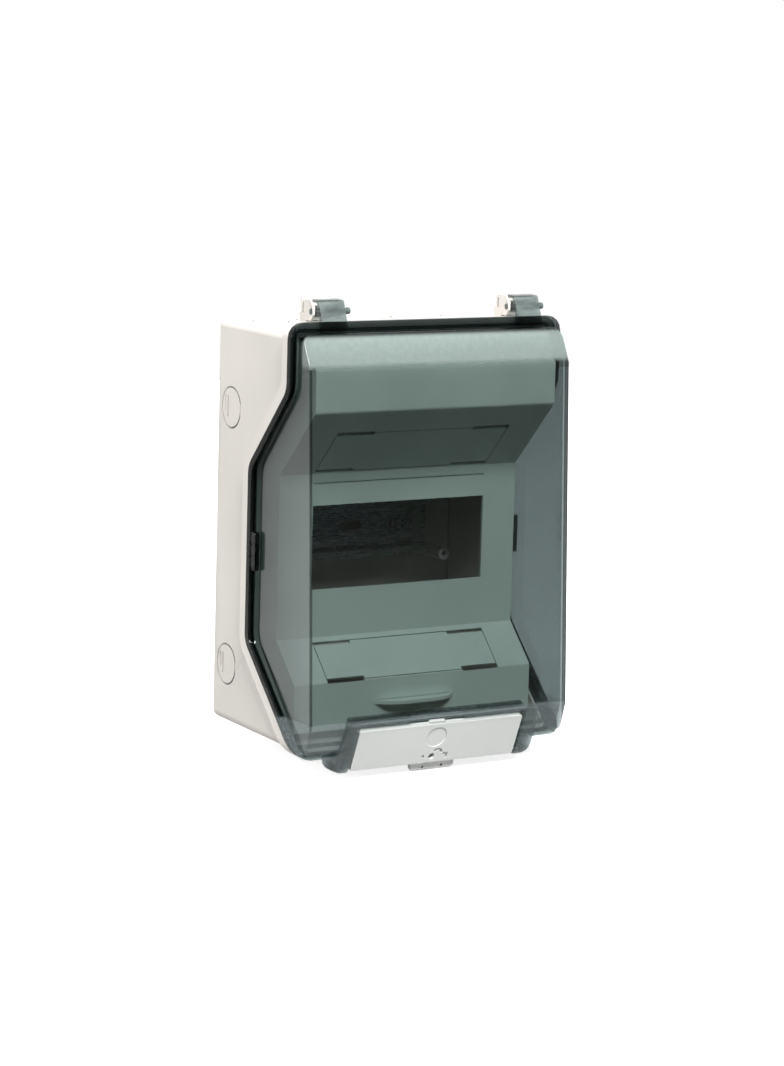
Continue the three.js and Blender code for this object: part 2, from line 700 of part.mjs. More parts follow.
// A comb let into the body's rim, whose teeth stand in the windows of the door's flange
function catchComb(side) {
  const x = side * combMiddle;
  const face = SEAM_WAIST_DEPTH;
  const front = face + FLANGE;
  const teeth = catchSlots(0).map(({ height, tall }) => solid(
    boxAt(x, (face + front) / 2, height, COMB_THICKNESS, front - face, tall),
  ));
  const base = solid(boxAt(x, face - COMB_SEAT / 2, CATCH_CENTRE, COMB_THICKNESS, COMB_SEAT, CATCH_HEIGHT));
  return union([base, ...teeth]);
}

// The comb's pocket in the rim
function combSeat(side) {
  const thick = 2 * (COMB_SEAT + FIT);
  const wide = COMB_THICKNESS + 2 * FIT;
  return solid(boxAt(side * combMiddle, SEAM_WAIST_DEPTH, CATCH_CENTRE, wide, thick, CATCH_HEIGHT + 2 * FIT));
}

// ---------------------------------------------------------------- hinges

// The ends of one hinge: the cheek at its left and the clip up to its right end
function hingeSpan(side) {
  const width = HINGE_CHEEK + FIT + HINGE_CLIP_WIDTH;
  const left = (side * HINGE_SPACING - width) / 2;
  return { left, right: left + width };
}

function hingeLug(side) {
  const { left, right } = hingeSpan(side);
  const foot = rimTop + FIT;
  const heel = bodyTop + FIT;
  const heelFront = SEAM_TOP_DEPTH - RIM_BAND - FIT;
  const stepHeight = foot + 4;
  const clipSweep = Math.hypot(Math.max(CLIP_HEEL, CLIP_REACH), HINGE_TOP_RISE + CLIP_CROWN) + FIT;
  const cheek = outline([
    [lugBack, heel],
    [heelFront, heel],
    [heelFront, foot],
    [SEAM_TOP_DEPTH - 2, foot],
    [hingeDepth + 2.6, hingeHeight - 1.6, 1.5],
    [hingeDepth + 2.6, hingeHeight + 2.4, 1.5],
    [hingeDepth - 1, hingeTop, 1.2],
    [lugBack + 4, hingeTop, 1.5],
    [lugBack + 4, stepHeight],
    [lugBack, stepHeight, 0.8],
  ]);
  const block = outline([
    [lugBack, heel],
    [heelFront, heel],
    [heelFront, foot],
    [hingeDepth - clipSweep, foot],
    [hingeDepth - clipSweep, hingeTop, 0.6],
    [lugBack + 1.6, hingeTop, 0.6],
    [lugBack + 1.6, stepHeight],
    [lugBack, stepHeight, 0.8],
  ]);
  const body = union([
    solid(acrossBox(block, left, right)),
    solid(acrossBox(cheek, left, left + HINGE_CHEEK)),
  ]);
  const bore = rodAcross(HINGE_PIN_RADIUS + FIT, left - 1, right + 1, hingeDepth, hingeHeight, 16);
  return body.subtract(solid(bore));
}

function hingePin(side) {
  const { left, right } = hingeSpan(side);
  const end = right + HINGE_STUB;
  const shank = rodAcross(HINGE_PIN_RADIUS, left, end, hingeDepth, hingeHeight, 16);
  const head = rodAcross(HINGE_HEAD_RADIUS, end - HINGE_HEAD_LENGTH, end, hingeDepth, hingeHeight, 16);
  return union([solid(shank), solid(head)]);
}

function hingeClip(side) {
  const { right } = hingeSpan(side);
  const left = right - HINGE_CLIP_WIDTH;
  const onFlange = SEAM_TOP_DEPTH + 2 * FIT + FLANGE;
  const tabFoot = doorTop + 0.6;
  const hood = outline([
    [onFlange, tabFoot],
    [browDepth - FIT, tabFoot, 0.6],
    [hingeDepth + CLIP_REACH, hingeTop, 1.6],
    [hingeDepth - CLIP_HEEL, hingeTop + CLIP_CROWN, 0.5],
    [hingeDepth - CLIP_HEEL, hingeTop + CLIP_CROWN - CLIP_WALL, 0.3],
    [hingeDepth + 3.4, hingeTop - CLIP_WALL, 0.8],
    [onFlange, rimTop + 1.2],
  ]);
  const web = outline([
    [hingeDepth - 1, hingeHeight - 1.2],
    [onFlange, hingeHeight - 2.2],
    [onFlange - 1.6, hingeHeight + 1.6],
    [hingeDepth - 1, hingeHeight + 1.6],
  ]);
  const across = (shape) => solid(acrossBox(shape, left, right));
  const axis = [hingeDepth, hingeHeight];
  const barrel = solid(rodAcross(CLIP_BARREL_RADIUS, left, right, ...axis, 16));
  const bore = solid(rodAcross(HINGE_PIN_RADIUS + FIT, left - 1, right + 1, ...axis, 16));
  return union([across(hood), across(web), barrel]).subtract(bore);
}

// ---------------------------------------------------------------- latch

// Sunk marks round the lock hole: a crescent above it, a small T to the right, a dot to the left
function lockMarks() {
  const [arcX, arcUp] = [LOCK_X + 3.3, LOCK_UP + 1.5];
  const crescent = new THREE.Shape();
  crescent.absarc(arcX, arcUp, 3.3, 0.1, Math.PI * 0.8, false);
  crescent.absarc(arcX, arcUp, 2.1, Math.PI * 0.8, 0.1, true);
  crescent.closePath();
  const [stemX, barUp] = [LOCK_X + 9.4, LOCK_UP + 1.4];
  const tee = outline([
    [stemX - 2.6, barUp - 0.8], [stemX - 0.7, barUp - 0.8], [stemX - 0.7, barUp - 3.2],
    [stemX + 0.8, barUp - 3.2], [stemX + 0.8, barUp], [stemX - 2.6, barUp],
  ]);
  return [new THREE.Shape(crescent.getPoints(8)), tee, disc(LOCK_X - 5.3, LOCK_UP + 0.3, 0.7, 12)];
}

function latchPlate() {
  const half = PLATE_WIDTH / 2;
  const tall = PLATE_HEIGHT / 2;
  const plate = solid(onFace(rectangle(-half, -tall, half, tall, 1.2), -PLATE_THICKNESS, 0));
  const hookShape = rectangle(
    HOOK_X - HOOK_WIDTH / 2, tall - 2, HOOK_X + HOOK_WIDTH / 2, tall + HOOK_REACH, 0.8,
  );
  const hook = solid(onFace(hookShape, -PLATE_THICKNESS, -1.2));
  const marks = lockMarks().map((shape) => solid(onFace(shape, -LOCK_RELIEF, 1)));
  const dimple = solid(onFace(disc(DIMPLE_X, DIMPLE_UP, DIMPLE_RADIUS), -0.5, 1));
  const lock = solid(onFace(disc(LOCK_X, LOCK_UP, LOCK_RADIUS, 16), -PLATE_THICKNESS - 1, 1));
  const bores = [-1, 1].map((side) => {
    const ends = [side * (half - LATCH_PIN_LENGTH / 2 - FIT), side * (half + 1)];
    const bore = rodAcross(LATCH_PIN_RADIUS + FIT, Math.min(...ends), Math.max(...ends), ...platePivot, 16);
    return solid(bore);
  });
  return union([plate, hook]).subtract(union([dimple, lock, ...marks, ...bores]));
}

function latchPin(side) {
  const middle = side * (PLATE_WIDTH / 2 + PLATE_GAP / 2);
  const half = LATCH_PIN_LENGTH / 2;
  return solid(rodAcross(LATCH_PIN_RADIUS, middle - half, middle + half, ...platePivot, 16));
}

// An L-shaped keeper under the body's rim, with two holes for a seal's wire
function keeper() {
  const sweep = Math.hypot(LATCH_PIN_INSET, PLATE_THICKNESS / 2);
  const face = platePivot[0] - sweep - FIT;
  const armTop = rimFoot - FLANGE_PROUD - 2.6;
  const shape = outline([
    [SEAM_FOOT_DEPTH - 18, rimFoot - FIT],
    [SEAM_FOOT_DEPTH - 18, armTop - KEEPER_THICKNESS, 1.5],
    [face - KEEPER_THICKNESS, armTop - KEEPER_THICKNESS, 0.5],
    [face - KEEPER_THICKNESS, keeperFoot],
    [face, keeperFoot, 0.5],
    [face, armTop, 0.5],
    [SEAM_FOOT_DEPTH - 11, armTop, 0.5],
    [SEAM_FOOT_DEPTH - 11, rimFoot - FIT],
  ]);
  const half = KEEPER_WIDTH / 2;
  const tab = rectangle(KEEPER_X - half, keeperFoot, KEEPER_X + half, rimFoot + PAST, 2.5);
  const body = solid(acrossBox(shape, KEEPER_X - half, KEEPER_X + half)).intersect(throughRim(tab));
  const holes = [-1, 1].map((side) => {
    const x = KEEPER_X + side * SEAL_HOLE_SPACING / 2;
    return solid(rodForwards(SEAL_HOLE_RADIUS, face - PAST, face + PAST, x, keeperFoot + 1.7, 12));
  });
  return body.subtract(union(holes));
}

// ---------------------------------------------------------------- inner cover

const coverFront = [
  [0, crown],
  [crownDepth, crown],
  [coverBrowDepth, coverBrowTop],
  [coverBrowDepth, coverBrowFoot],
  [panelDepth, panelTop],
  [panelDepth, panelFoot],
  [lapDepth, lapTop],
  [lapDepth, coverFoot],
  [0, coverFoot],
];
const coverBends = [0, 2, 3, 3, 1, 1, 2, 2, 0];

function coverBlock(inset) {
  const front = beside(coverFront, -inset).map(([depth, height], i) => [
    depth, height, i > 2 && i < 6 ? coverBends[i] : Math.max(0, coverBends[i] - inset),
  ]);
  const half = coverHalf - inset;
  return solid(acrossBox(outline(front.reverse()), -half, half));
}

// The two sloping faces that hold blanking plates: where each begins and which way it runs
const slopes = {
  upper: {
    from: [panelDepth, panelTop],
    to: [coverBrowDepth, coverBrowFoot],
    start: UPPER_BLANK_START,
    margin: UPPER_BLANK_MARGIN,
  },
  lower: {
    from: [panelDepth, panelFoot],
    to: [lapDepth, lapTop],
    start: LOWER_BLANK_START,
    margin: LOWER_BLANK_MARGIN,
  },
};

function blankEnd(slope) {
  return Math.hypot(slope.to[0] - slope.from[0], slope.to[1] - slope.from[1]) - slope.margin;
}

// Lays a shape drawn on a slope [x, distance from the panel] and gives it thickness inwards
function onSlope(slope, shape, out, inwards) {
  const run = new THREE.Vector3(0, -(slope.to[0] - slope.from[0]), slope.to[1] - slope.from[1]).normalize();
  const right = new THREE.Vector3(1, 0, 0);
  const normal = new THREE.Vector3().crossVectors(right, run);
  const outside = normal.y < 0 ? 1 : -1;
  const low = outside > 0 ? -inwards : -out;
  const geometry = new THREE.ExtrudeGeometry(shape, { depth: out + inwards, bevelEnabled: false });
  geometry.translate(0, 0, low).applyMatrix4(new THREE.Matrix4().makeBasis(right, run, normal));
  return geometry.translate(0, -slope.from[0], slope.from[1]);
}

// The opening is the plate's outline and the slots that its hooks show in
function blankOpening(slope) {
  const { start } = slope;
  const end = blankEnd(slope);
  const half = BLANK_WIDTH / 2;
  const shapes = [rectangle(-half, start, half, end)];
  [-1, 1].forEach((side) => {
    const outer = side * half;
    const inner = side * (half - BLANK_SLOT);
    const [left, right] = [Math.min(outer, inner), Math.max(outer, inner)];
    shapes.push(rectangle(left, end - 1, right, end + BLANK_SLOT_HEIGHT / 2));
  });
  return shapes;
}

function blankPlate(slope) {
  const half = BLANK_WIDTH / 2 - BLANK_GAP;
  const low = slope.start + BLANK_GAP;
  const high = blankEnd(slope) - BLANK_GAP;
  const notch = half - BLANK_SLOT;
  const shape = outline([
    [-notch, low], [notch, low], [notch, low + BLANK_SLOT_HEIGHT], [half, low + BLANK_SLOT_HEIGHT],
    [half, high - BLANK_NOTCH + BLANK_SLOT_HEIGHT], [notch, high - BLANK_NOTCH + BLANK_SLOT_HEIGHT],
    [notch, high], [-notch, high],
    [-notch, high - BLANK_NOTCH + BLANK_SLOT_HEIGHT], [-half, high - BLANK_NOTCH + BLANK_SLOT_HEIGHT],
    [-half, low + BLANK_SLOT_HEIGHT], [-notch, low + BLANK_SLOT_HEIGHT],
  ]);
  return solid(onSlope(slope, shape, 0, COVER_WALL));
}

function innerCover() {
  const behindSeam = seamBandSolid(-COVER_TUCK, 3 * PAST);
  const shell = coverBlock(0).intersect(behindSeam).subtract(coverBlock(COVER_WALL));
  const windowHalf = (MODULE_WIDTH * MODULES + WINDOW_SLACK) / 2;
  const windowTop = WINDOW_CENTRE + WINDOW_HEIGHT / 2;
  const windowFoot = WINDOW_CENTRE - WINDOW_HEIGHT / 2;
  const aperture = forwards(
    rectangle(-windowHalf, windowFoot, windowHalf, windowTop), panelDepth - 2 * COVER_WALL, panelDepth + 1,
  );
  const groove = boxAt(0, panelDepth, GROOVE_HEIGHT, 2 * windowHalf, 2 * GROOVE_DEPTH, GROOVE_WIDTH);
  const openings = [
    ...blankOpening(slopes.upper).map((shape) => onSlope(slopes.upper, shape, 1, 6)),
    ...blankOpening(slopes.lower).map((shape) => onSlope(slopes.lower, shape, 1, 6)),
  ];
  const lipShape = new THREE.Shape();
  lipShape.moveTo(-LIP_WIDTH / 2, lapDepth - 1);
  for (let i = 0; i <= 12; i += 1) {
    const along = -1 + 2 * i / 12;
    lipShape.lineTo(along * LIP_WIDTH / 2, lapDepth + LIP_REACH * (1 - along ** 4));
  }
  lipShape.lineTo(LIP_WIDTH / 2, lapDepth - 1);
  lipShape.closePath();
  const lip = upwards(lipShape, lipHeight - LIP_THICKNESS, lipHeight);
  const cuts = [solid(aperture), solid(groove), ...openings.map(solid)];
  return shell.add(solid(lip)).subtract(union(cuts));
}

// ---------------------------------------------------------------- rail and terminals

function dinRail() {
  const face = RAIL_FACE_DEPTH;
  const web = RAIL_FACE_DEPTH - RAIL_DEPTH;
  const edge = RAIL_HEIGHT / 2;
  const inner = RAIL_CHANNEL / 2;
  const section = outline([
    [face - RAIL_STEEL, -edge], [face, -edge],
    [face, -inner + RAIL_STEEL], [web + RAIL_STEEL, -inner + RAIL_STEEL],
    [web + RAIL_STEEL, inner - RAIL_STEEL], [face, inner - RAIL_STEEL],
    [face, edge], [face - RAIL_STEEL, edge],
    [face - RAIL_STEEL, inner], [web, inner], [web, -inner], [face - RAIL_STEEL, -inner],
  ]);
  const rail = solid(acrossBox(section, -RAIL_LENGTH / 2, RAIL_LENGTH / 2).translate(0, 0, RAIL_CENTRE));
  const slots = [-1, 0, 1].map((place) => {
    const x = place * RAIL_FIXING_SPACING / 2;
    const [long, wide] = [RAIL_SLOT / 2, RAIL_SLOT_WIDTH / 2];
    const slot = rectangle(-long, -wide, long, wide, wide - 0.05);
    return solid(forwards(slot, web - 1, web + 2).translate(x, 0, RAIL_CENTRE));
  });
  return rail.subtract(union(slots));
}

function railScrew(side) {
  const x = side * RAIL_FIXING_SPACING / 2;
  const seat = RAIL_FACE_DEPTH - RAIL_DEPTH + RAIL_STEEL + FIT;
  const under = seat - RAIL_STEEL - 2 * FIT;
  const head = solid(rodForwards(RAIL_SCREW_HEAD_RADIUS, seat, seat + RAIL_SCREW_HEAD, x, RAIL_CENTRE));
  const tip = under - RAIL_SCREW_LENGTH + 2 * FIT;
  const shank = solid(rodForwards(RAIL_SCREW_RADIUS, tip, seat + 1, x, RAIL_CENTRE, 16));
  const cross = [[5, 0.9], [0.9, 5]].map(([wide, tall]) => (
    solid(boxAt(x, seat + RAIL_SCREW_HEAD, RAIL_CENTRE, wide, 2.4, tall))
  ));
  return union([head, shank]).subtract(union(cross));
}

const barSeat = BACK_WALL + FIT + CARRIER_FOOT + FIT;

function barWays() {
  return Array.from({ length: BAR_WAYS }, (_, i) => (i - (BAR_WAYS - 1) / 2) * BAR_PITCH);
}

function terminalCarrier(height) {
  const foot = BACK_WALL + FIT;
  const base = boxAt(0, foot + CARRIER_FOOT / 2, height, CARRIER_LENGTH, CARRIER_FOOT, CARRIER_WIDTH);
  const ends = [-1, 1].map((side) => {
    const wide = (CARRIER_LENGTH - BAR_LENGTH) / 2 - FIT;
    const x = side * (CARRIER_LENGTH - wide) / 2;
    const tall = CARRIER_FOOT + BAR_THICKNESS + FIT;
    return solid(boxAt(x, foot + tall / 2, height, wide, tall, CARRIER_WIDTH));
  });
  return union([solid(base), ...ends]);
}

function terminalBar(height) {
  const section = rectangle(-BAR_LENGTH / 2, -BAR_WIDTH / 2, BAR_LENGTH / 2, BAR_WIDTH / 2, 0.8);
  const block = solid(forwards(section, barSeat, barSeat + BAR_THICKNESS).translate(0, 0, height));
  const holes = barWays().map((x) => solid(rodForwards(
    BAR_SCREW_RADIUS + FIT, barSeat - 1, barSeat + BAR_THICKNESS + 1, x, height, 12,
  )));
  const wires = [-2, -1, 0, 1].map((place) => {
    const wire = new THREE.CylinderGeometry(BAR_HOLE_RADIUS, BAR_HOLE_RADIUS, BAR_WIDTH + 2, 12);
    wire.rotateX(Math.PI / 2);
    return solid(wire.translate((place + 0.5) * BAR_PITCH, -(barSeat + BAR_THICKNESS / 2), height));
  });
  return block.subtract(union([...holes, ...wires]));
}

function terminalScrew(x, height) {
  const top = barSeat + BAR_THICKNESS + FIT;
  const head = solid(rodForwards(BAR_SCREW_HEAD_RADIUS, top, top + 1.8, x, height, 12));
  const shank = solid(rodForwards(BAR_SCREW_RADIUS, barSeat + 0.5, top + 0.5, x, height, 12));
  const slit = solid(boxAt(x, top + 1.8, height, 8, 1.6, 0.8));
  return union([head, shank]).subtract(slit);
}

// ---------------------------------------------------------------- materials

function moulded(colour, roughness, opacity = 1) {
  return new THREE.MeshStandardMaterial({
    color: colour, roughness, metalness: 0, opacity, transparent: opacity < 1,
  });
}

function metal(colour, roughness) {
  return new THREE.MeshStandardMaterial({ color: colour, roughness, metalness: 1 });
}

const finishes = {
  shell: () => moulded(0xdad6d0, 0.45),
  smoked: () => moulded(0x4d5c58, 0.08, 0.45),
  cover: () => moulded(0xb4b9b2, 0.5),
  latch: () => moulded(0xd0d2d1, 0.4),
  rubber: () => moulded(0x1f2322, 0.8),
  pin: () => moulded(0x6f7a78, 0.3),
  carrier: () => moulded(0x8d9496, 0.5),
  steel: () => metal(0xb9bcc0, 0.3),
  brass: () => metal(0xc9a24e, 0.35),
};

// ---------------------------------------------------------------- assembly

const box = new THREE.Group();

function place(group, name, finish, body) {
  const mesh = new THREE.Mesh(geometryOf(body), finishes[finish]());
  mesh.name = name;
  group.add(mesh);
}

const enclosure = new THREE.Group();
const door = new THREE.Group();
const latch = new THREE.Group();
door.add(latch);
box.add(enclosure, door);

const sides = [['left', -1], ['right', 1]];

place(enclosure, 'body_shell', 'shell', bodyShell());
place(enclosure, 'door_gasket', 'rubber', gasket());
place(enclosure, 'latch_keeper', 'shell', keeper());
place(door, 'door_shell', 'smoked', doorShell());
place(latch, 'latch_plate', 'latch', latchPlate());
sides.forEach(([name, side]) => {
  place(enclosure, `hinge_lug_${name}`, 'shell', hingeLug(side));
  place(enclosure, `hinge_pin_${name}`, 'pin', hingePin(side));
  place(enclosure, `catch_comb_${name}`, 'shell', catchComb(side));
  place(enclosure, `rail_screw_${name}`, 'steel', railScrew(side));
  place(door, `hinge_clip_${name}`, 'smoked', hingeClip(side));
  place(door, `catch_block_${name}`, 'smoked', catchBlock(side));
  place(door, `latch_pin_${name}`, 'steel', latchPin(side));
});

place(enclosure, 'inner_cover', 'cover', innerCover());
place(enclosure, 'blank_plate_upper', 'cover', blankPlate(slopes.upper));
place(enclosure, 'blank_plate_lower', 'cover', blankPlate(slopes.lower));
place(enclosure, 'din_rail', 'steel', dinRail());

[['upper', bodyTop - UPPER_BAR_DROP], ['lower', LOWER_BAR_RISE - bodyTop]].forEach(([name, height]) => {
  place(enclosure, `terminal_carrier_${name}`, 'carrier', terminalCarrier(height));
  place(enclosure, `terminal_bar_${name}`, 'brass', terminalBar(height));
  barWays().forEach((x, i) => {
    place(enclosure, `terminal_screw_${name}_${i + 1}`, 'steel', terminalScrew(x, height));
  });
});

export default box;
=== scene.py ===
"""Looks of a wall-mounted combiner box: moulded body, smoked top-hinged door and lever latch."""

import math

import bmesh
import bpy
from bpy.props import FloatProperty, FloatVectorProperty, PointerProperty
from mathutils import Matrix, Vector


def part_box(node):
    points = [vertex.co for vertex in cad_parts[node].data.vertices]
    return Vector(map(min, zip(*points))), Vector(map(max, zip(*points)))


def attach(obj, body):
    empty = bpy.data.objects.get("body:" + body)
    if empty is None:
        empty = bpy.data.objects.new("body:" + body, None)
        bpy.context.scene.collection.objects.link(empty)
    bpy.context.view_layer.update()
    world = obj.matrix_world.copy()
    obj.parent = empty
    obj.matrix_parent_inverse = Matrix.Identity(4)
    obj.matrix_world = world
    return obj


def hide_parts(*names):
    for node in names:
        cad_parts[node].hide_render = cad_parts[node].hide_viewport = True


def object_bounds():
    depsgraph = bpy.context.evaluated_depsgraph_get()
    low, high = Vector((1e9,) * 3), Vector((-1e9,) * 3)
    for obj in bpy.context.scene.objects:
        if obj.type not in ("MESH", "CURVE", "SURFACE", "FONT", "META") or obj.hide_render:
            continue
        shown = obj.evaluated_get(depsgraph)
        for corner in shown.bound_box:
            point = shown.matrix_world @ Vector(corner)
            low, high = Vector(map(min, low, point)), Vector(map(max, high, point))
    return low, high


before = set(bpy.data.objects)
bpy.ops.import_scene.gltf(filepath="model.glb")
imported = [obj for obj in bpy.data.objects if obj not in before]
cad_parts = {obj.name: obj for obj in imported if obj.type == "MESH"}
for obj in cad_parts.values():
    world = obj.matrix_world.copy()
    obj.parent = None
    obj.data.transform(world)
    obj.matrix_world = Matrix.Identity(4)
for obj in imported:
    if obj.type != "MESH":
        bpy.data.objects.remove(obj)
cad_low, cad_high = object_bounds()

bl_info = {
    "name": "Combiner Box",
    "version": (1, 0, 0),
    "blender": (4, 5, 0),
    "location": "3D View > Sidebar > Combiner Box",
    "description": "Finishes a wall-mounted combiner box: body, smoked door, latch, inner cover and rail",
    "category": "Object",
}

SMOOTH_ANGLE = math.radians(32)     # edges sharper than this are kept crisp and rounded over
FLAT_ANGLE = math.radians(0.4)      # faces closer than this belong to one flat
CREVICE_REACH = 0.0016              # how far the painted shade gathers from an inner corner
DOOR_LEAN = 0.0469                  # how far the door's front comes forward for each metre down
MERGE = 1e-5                        # corners closer than this are one corner
FRONT_DROP = 0.0237                 # door's top edge down to where its brow meets its front
BROW_RISE = 0.0155                  # height of the frosted part of the brow
BROW_FRONT = -0.0995                # the brow's frosting lies ahead of this depth
BEZEL_RISE = 0.0298                 # door's bottom edge up to the top of the latch bezel
CLIP_TAB = 0.0054                   # clip's bottom edge up to the top of its clear tab
FLANGE_EDGE = 0.0034                # how far in from its widest point the flange is darkened by painted shade
CORNER_LINE = 0.0014                # depth of the painted dark line of shade along the door's front corners
CORNER_EXIT = 0.0046                # light that leaves the door this near a corner is dimmed by painted shade
SMOKED_DENSITY = 300.0              # how fast the smoked plastic dims light, for each metre
PLASTIC_IOR = 1.52
SIDES = ("left", "right")
ENDS = ("upper", "lower")
SCREWS = range(1, 6)


# ---------------------------------------------------------------- settings


def colour(name, description, default):
    return FloatVectorProperty(
        name=name, description=description, default=default, size=3, subtype="COLOR", min=0, max=1
    )


def length(name, description, default):
    return FloatProperty(name=name, description=description, default=default, min=0, unit="LENGTH")


class MouldingSizes(bpy.types.PropertyGroup):
    door_edge: length("Door edge", "Rounding of the door's edges", 0.0005)
    trim_edge: length("Trim edge", "Rounding of the small mouldings' edges", 0.0003)
    metal_edge: length("Metal edge", "Rounding of the metal pieces' edges", 0.00015)
    grain_size: length("Grain size", "Spacing of the moulded grain", 0.0007)


class FinishColours(bpy.types.PropertyGroup):
    shell: colour("Body", "Warm light grey of the body", (0.73, 0.695, 0.65))
    cover: colour("Inner cover", "Light grey of the inner cover", (0.76, 0.84, 0.77))
    latch: colour("Latch plate", "Pale grey of the latch plate", (0.65, 0.67, 0.65))
    keeper: colour("Keeper", "Near white of the sealing tab under the latch", (0.93, 0.93, 0.91))
    tint: colour("Smoked tint", "What each face of the door lets through", (0.725, 0.735, 0.735))
    depth_tint: colour("Smoked depth", "What the plastic keeps in its thickness", (0.28, 0.38, 0.38))
    clip_frost: colour("Clip frosting", "Grey frosting on the hinge clips", (0.185, 0.225, 0.215))
    haze: colour("Brow haze", "Pale frosting of the door's brow", (0.27, 0.325, 0.305))
    bezel_haze: colour("Bezel haze", "Grey texture of the door's latch bezel", (0.36, 0.42, 0.43))
    rubber: colour("Gasket", "Dark foam of the door's gasket", (0.040, 0.048, 0.048))
    pin: colour("Hinge pins", "Grey plastic of the hinge pins", (0.12, 0.15, 0.145))
    carrier: colour("Terminal carriers", "Grey of the terminal carriers", (0.26, 0.30, 0.31))
    steel: colour("Zinc plate", "Plated steel of the rail and screws", (0.62, 0.64, 0.64))
    brass: colour("Brass", "Drawn brass of the terminal bars", (0.68, 0.50, 0.21))


class StudioSettings(bpy.types.PropertyGroup):
    camera_place: FloatVectorProperty(
        name="Camera", description="Where the camera stands", size=3, unit="LENGTH",
        default=(-0.91033, -1.52055, 0.27018),
    )
    yaw: FloatProperty(
        name="Yaw", description="Camera's turn to the right", default=0.557475, unit="ROTATION"
    )
    pitch: FloatProperty(name="Pitch", description="Camera's tilt down", default=0.157660, unit="ROTATION")
    roll: FloatProperty(name="Roll", description="Camera's lean", default=0.028262, unit="ROTATION")
    lens: FloatProperty(name="Lens", description="Focal length in millimetres", default=107.562, min=1)
    backdrop: colour("Floor", "Pale floor and surroundings", (0.97, 0.97, 0.97))
    bounce: colour("Floor bounce", "How much light the floor gives back to the box", (0.30, 0.30, 0.30))
    surround: FloatProperty(name="Surround", description="Strength of the even light", default=0.14, min=0)
    key: FloatProperty(
        name="Key light", description="Power of the high front light, in watts", default=172, min=0
    )
    side: FloatProperty(
        name="Side light", description="Power of the left light, in watts", default=35, min=0
    )
    top: FloatProperty(
        name="Top light", description="Power of the overhead light, in watts", default=18, min=0
    )


# ---------------------------------------------------------------- material helpers


class Finish:
    """A node material under construction, with its pattern laid out in metres on the object."""

    def __init__(self, name):
        found = bpy.data.materials.get(name)
        self.material = found or bpy.data.materials.new(name)
        self.material.use_nodes = True
        self.tree = self.material.node_tree
        self.tree.nodes.clear()
        self.output = self.add("ShaderNodeOutputMaterial")
        self.place = self.add("ShaderNodeTexCoord").outputs["Object"]

    def add(self, kind, **settings):
        made = self.tree.nodes.new(kind)
        for key, value in settings.items():
            setattr(made, key, value)
        return made

    def link(self, source, target):
        self.tree.links.new(source, target)

    def stretched(self, scale):
        mapping = self.add("ShaderNodeMapping")
        mapping.inputs["Scale"].default_value = scale
        self.link(self.place, mapping.inputs["Vector"])
        return mapping.outputs["Vector"]

    def noise(self, scale, detail=3.0, roughness=0.55, along=None):
        made = self.add("ShaderNodeTexNoise")
        made.inputs["Scale"].default_value = scale
        made.inputs["Detail"].default_value = detail
        made.inputs["Roughness"].default_value = roughness
        self.link(along or self.place, made.inputs["Vector"])
        return made.outputs["Fac"]

    def spread(self, value, low, high, from_low=0.3, from_high=0.7):
        made = self.add("ShaderNodeMapRange", interpolation_type="SMOOTHSTEP")
        made.inputs["From Min"].default_value = from_low
        made.inputs["From Max"].default_value = from_high
        made.inputs["To Min"].default_value = low
        made.inputs["To Max"].default_value = high
        self.link(value, made.inputs["Value"])
        return made.outputs["Result"]

    def painted_crevice_shade(self, reach):
        """Painted shade mask: 1 in the open, falling to 0 where neighbouring faces close in."""
        made = self.add("ShaderNodeAmbientOcclusion", samples=6)
        made.inputs["Distance"].default_value = reach
        return self.spread(made.outputs["AO"], 0.0, 1.0, 0.35, 0.9)

    def size(self, value):
        made = self.add("ShaderNodeMath", operation="ABSOLUTE")
        self.link(value, made.inputs[0])
        return made.outputs["Value"]

    def times(self, a, b, operation="MULTIPLY"):
        made = self.add("ShaderNodeMath", operation=operation, use_clamp=True)
        for value, socket in zip((a, b), made.inputs):
            if isinstance(value, (int, float)):
                socket.default_value = value
            else:
                self.link(value, socket)
        return made.outputs["Value"]

    def rest(self, share):
        """What a share leaves over."""
        return self.times(1.0, share, "SUBTRACT")

    def unless_shadow(self, amount):
        """1 for light that is seen, less for light that passes through to what lies behind."""
        shadow = self.add("ShaderNodeLightPath").outputs["Is Shadow Ray"]
        return self.rest(self.times(shadow, amount))

    def between(self, share, first, second):
        made = self.add("ShaderNodeMix", data_type="RGBA")
        self.link(share, made.inputs["Factor"])
        for value, socket in ((first, made.inputs[6]), (second, made.inputs[7])):
            if isinstance(value, bpy.types.NodeSocket):
                self.link(value, socket)
            else:
                socket.default_value = (*value, 1)
        return made.outputs[2]

    def bump(self, height, distance, strength=1.0, on=None):
        made = self.add("ShaderNodeBump")
        made.inputs["Distance"].default_value = distance
        made.inputs["Strength"].default_value = strength
        self.link(height, made.inputs["Height"])
        if on is not None:
            self.link(on, made.inputs["Normal"])
        return made.outputs["Normal"]

    def principled(self, base, rough, normal=None, metallic=0.0, specular=0.5):
        made = self.add("ShaderNodeBsdfPrincipled")
        made.inputs["Metallic"].default_value = metallic
        made.inputs["Specular IOR Level"].default_value = specular
        for value, socket in ((base, made.inputs["Base Color"]), (rough, made.inputs["Roughness"])):
            if isinstance(value, bpy.types.NodeSocket):
                self.link(value, socket)
            elif isinstance(value, float):
                socket.default_value = value
            else:
                socket.default_value = (*value, 1)
        if normal is not None:
            self.link(normal, made.inputs["Normal"])
        return made

    def mix(self, share, first, second):
        made = self.add("ShaderNodeMixShader")
        self.link(share, made.inputs["Fac"])
        self.link(first, made.inputs[1])
        self.link(second, made.inputs[2])
        return made.outputs["Shader"]

    def show(self, shader):
        self.link(shader, self.output.inputs["Surface"])
        return self.material


def shade(tone, amount):
    return tuple(min(1.0, channel * amount) for channel in tone)


# ---------------------------------------------------------------- finishes


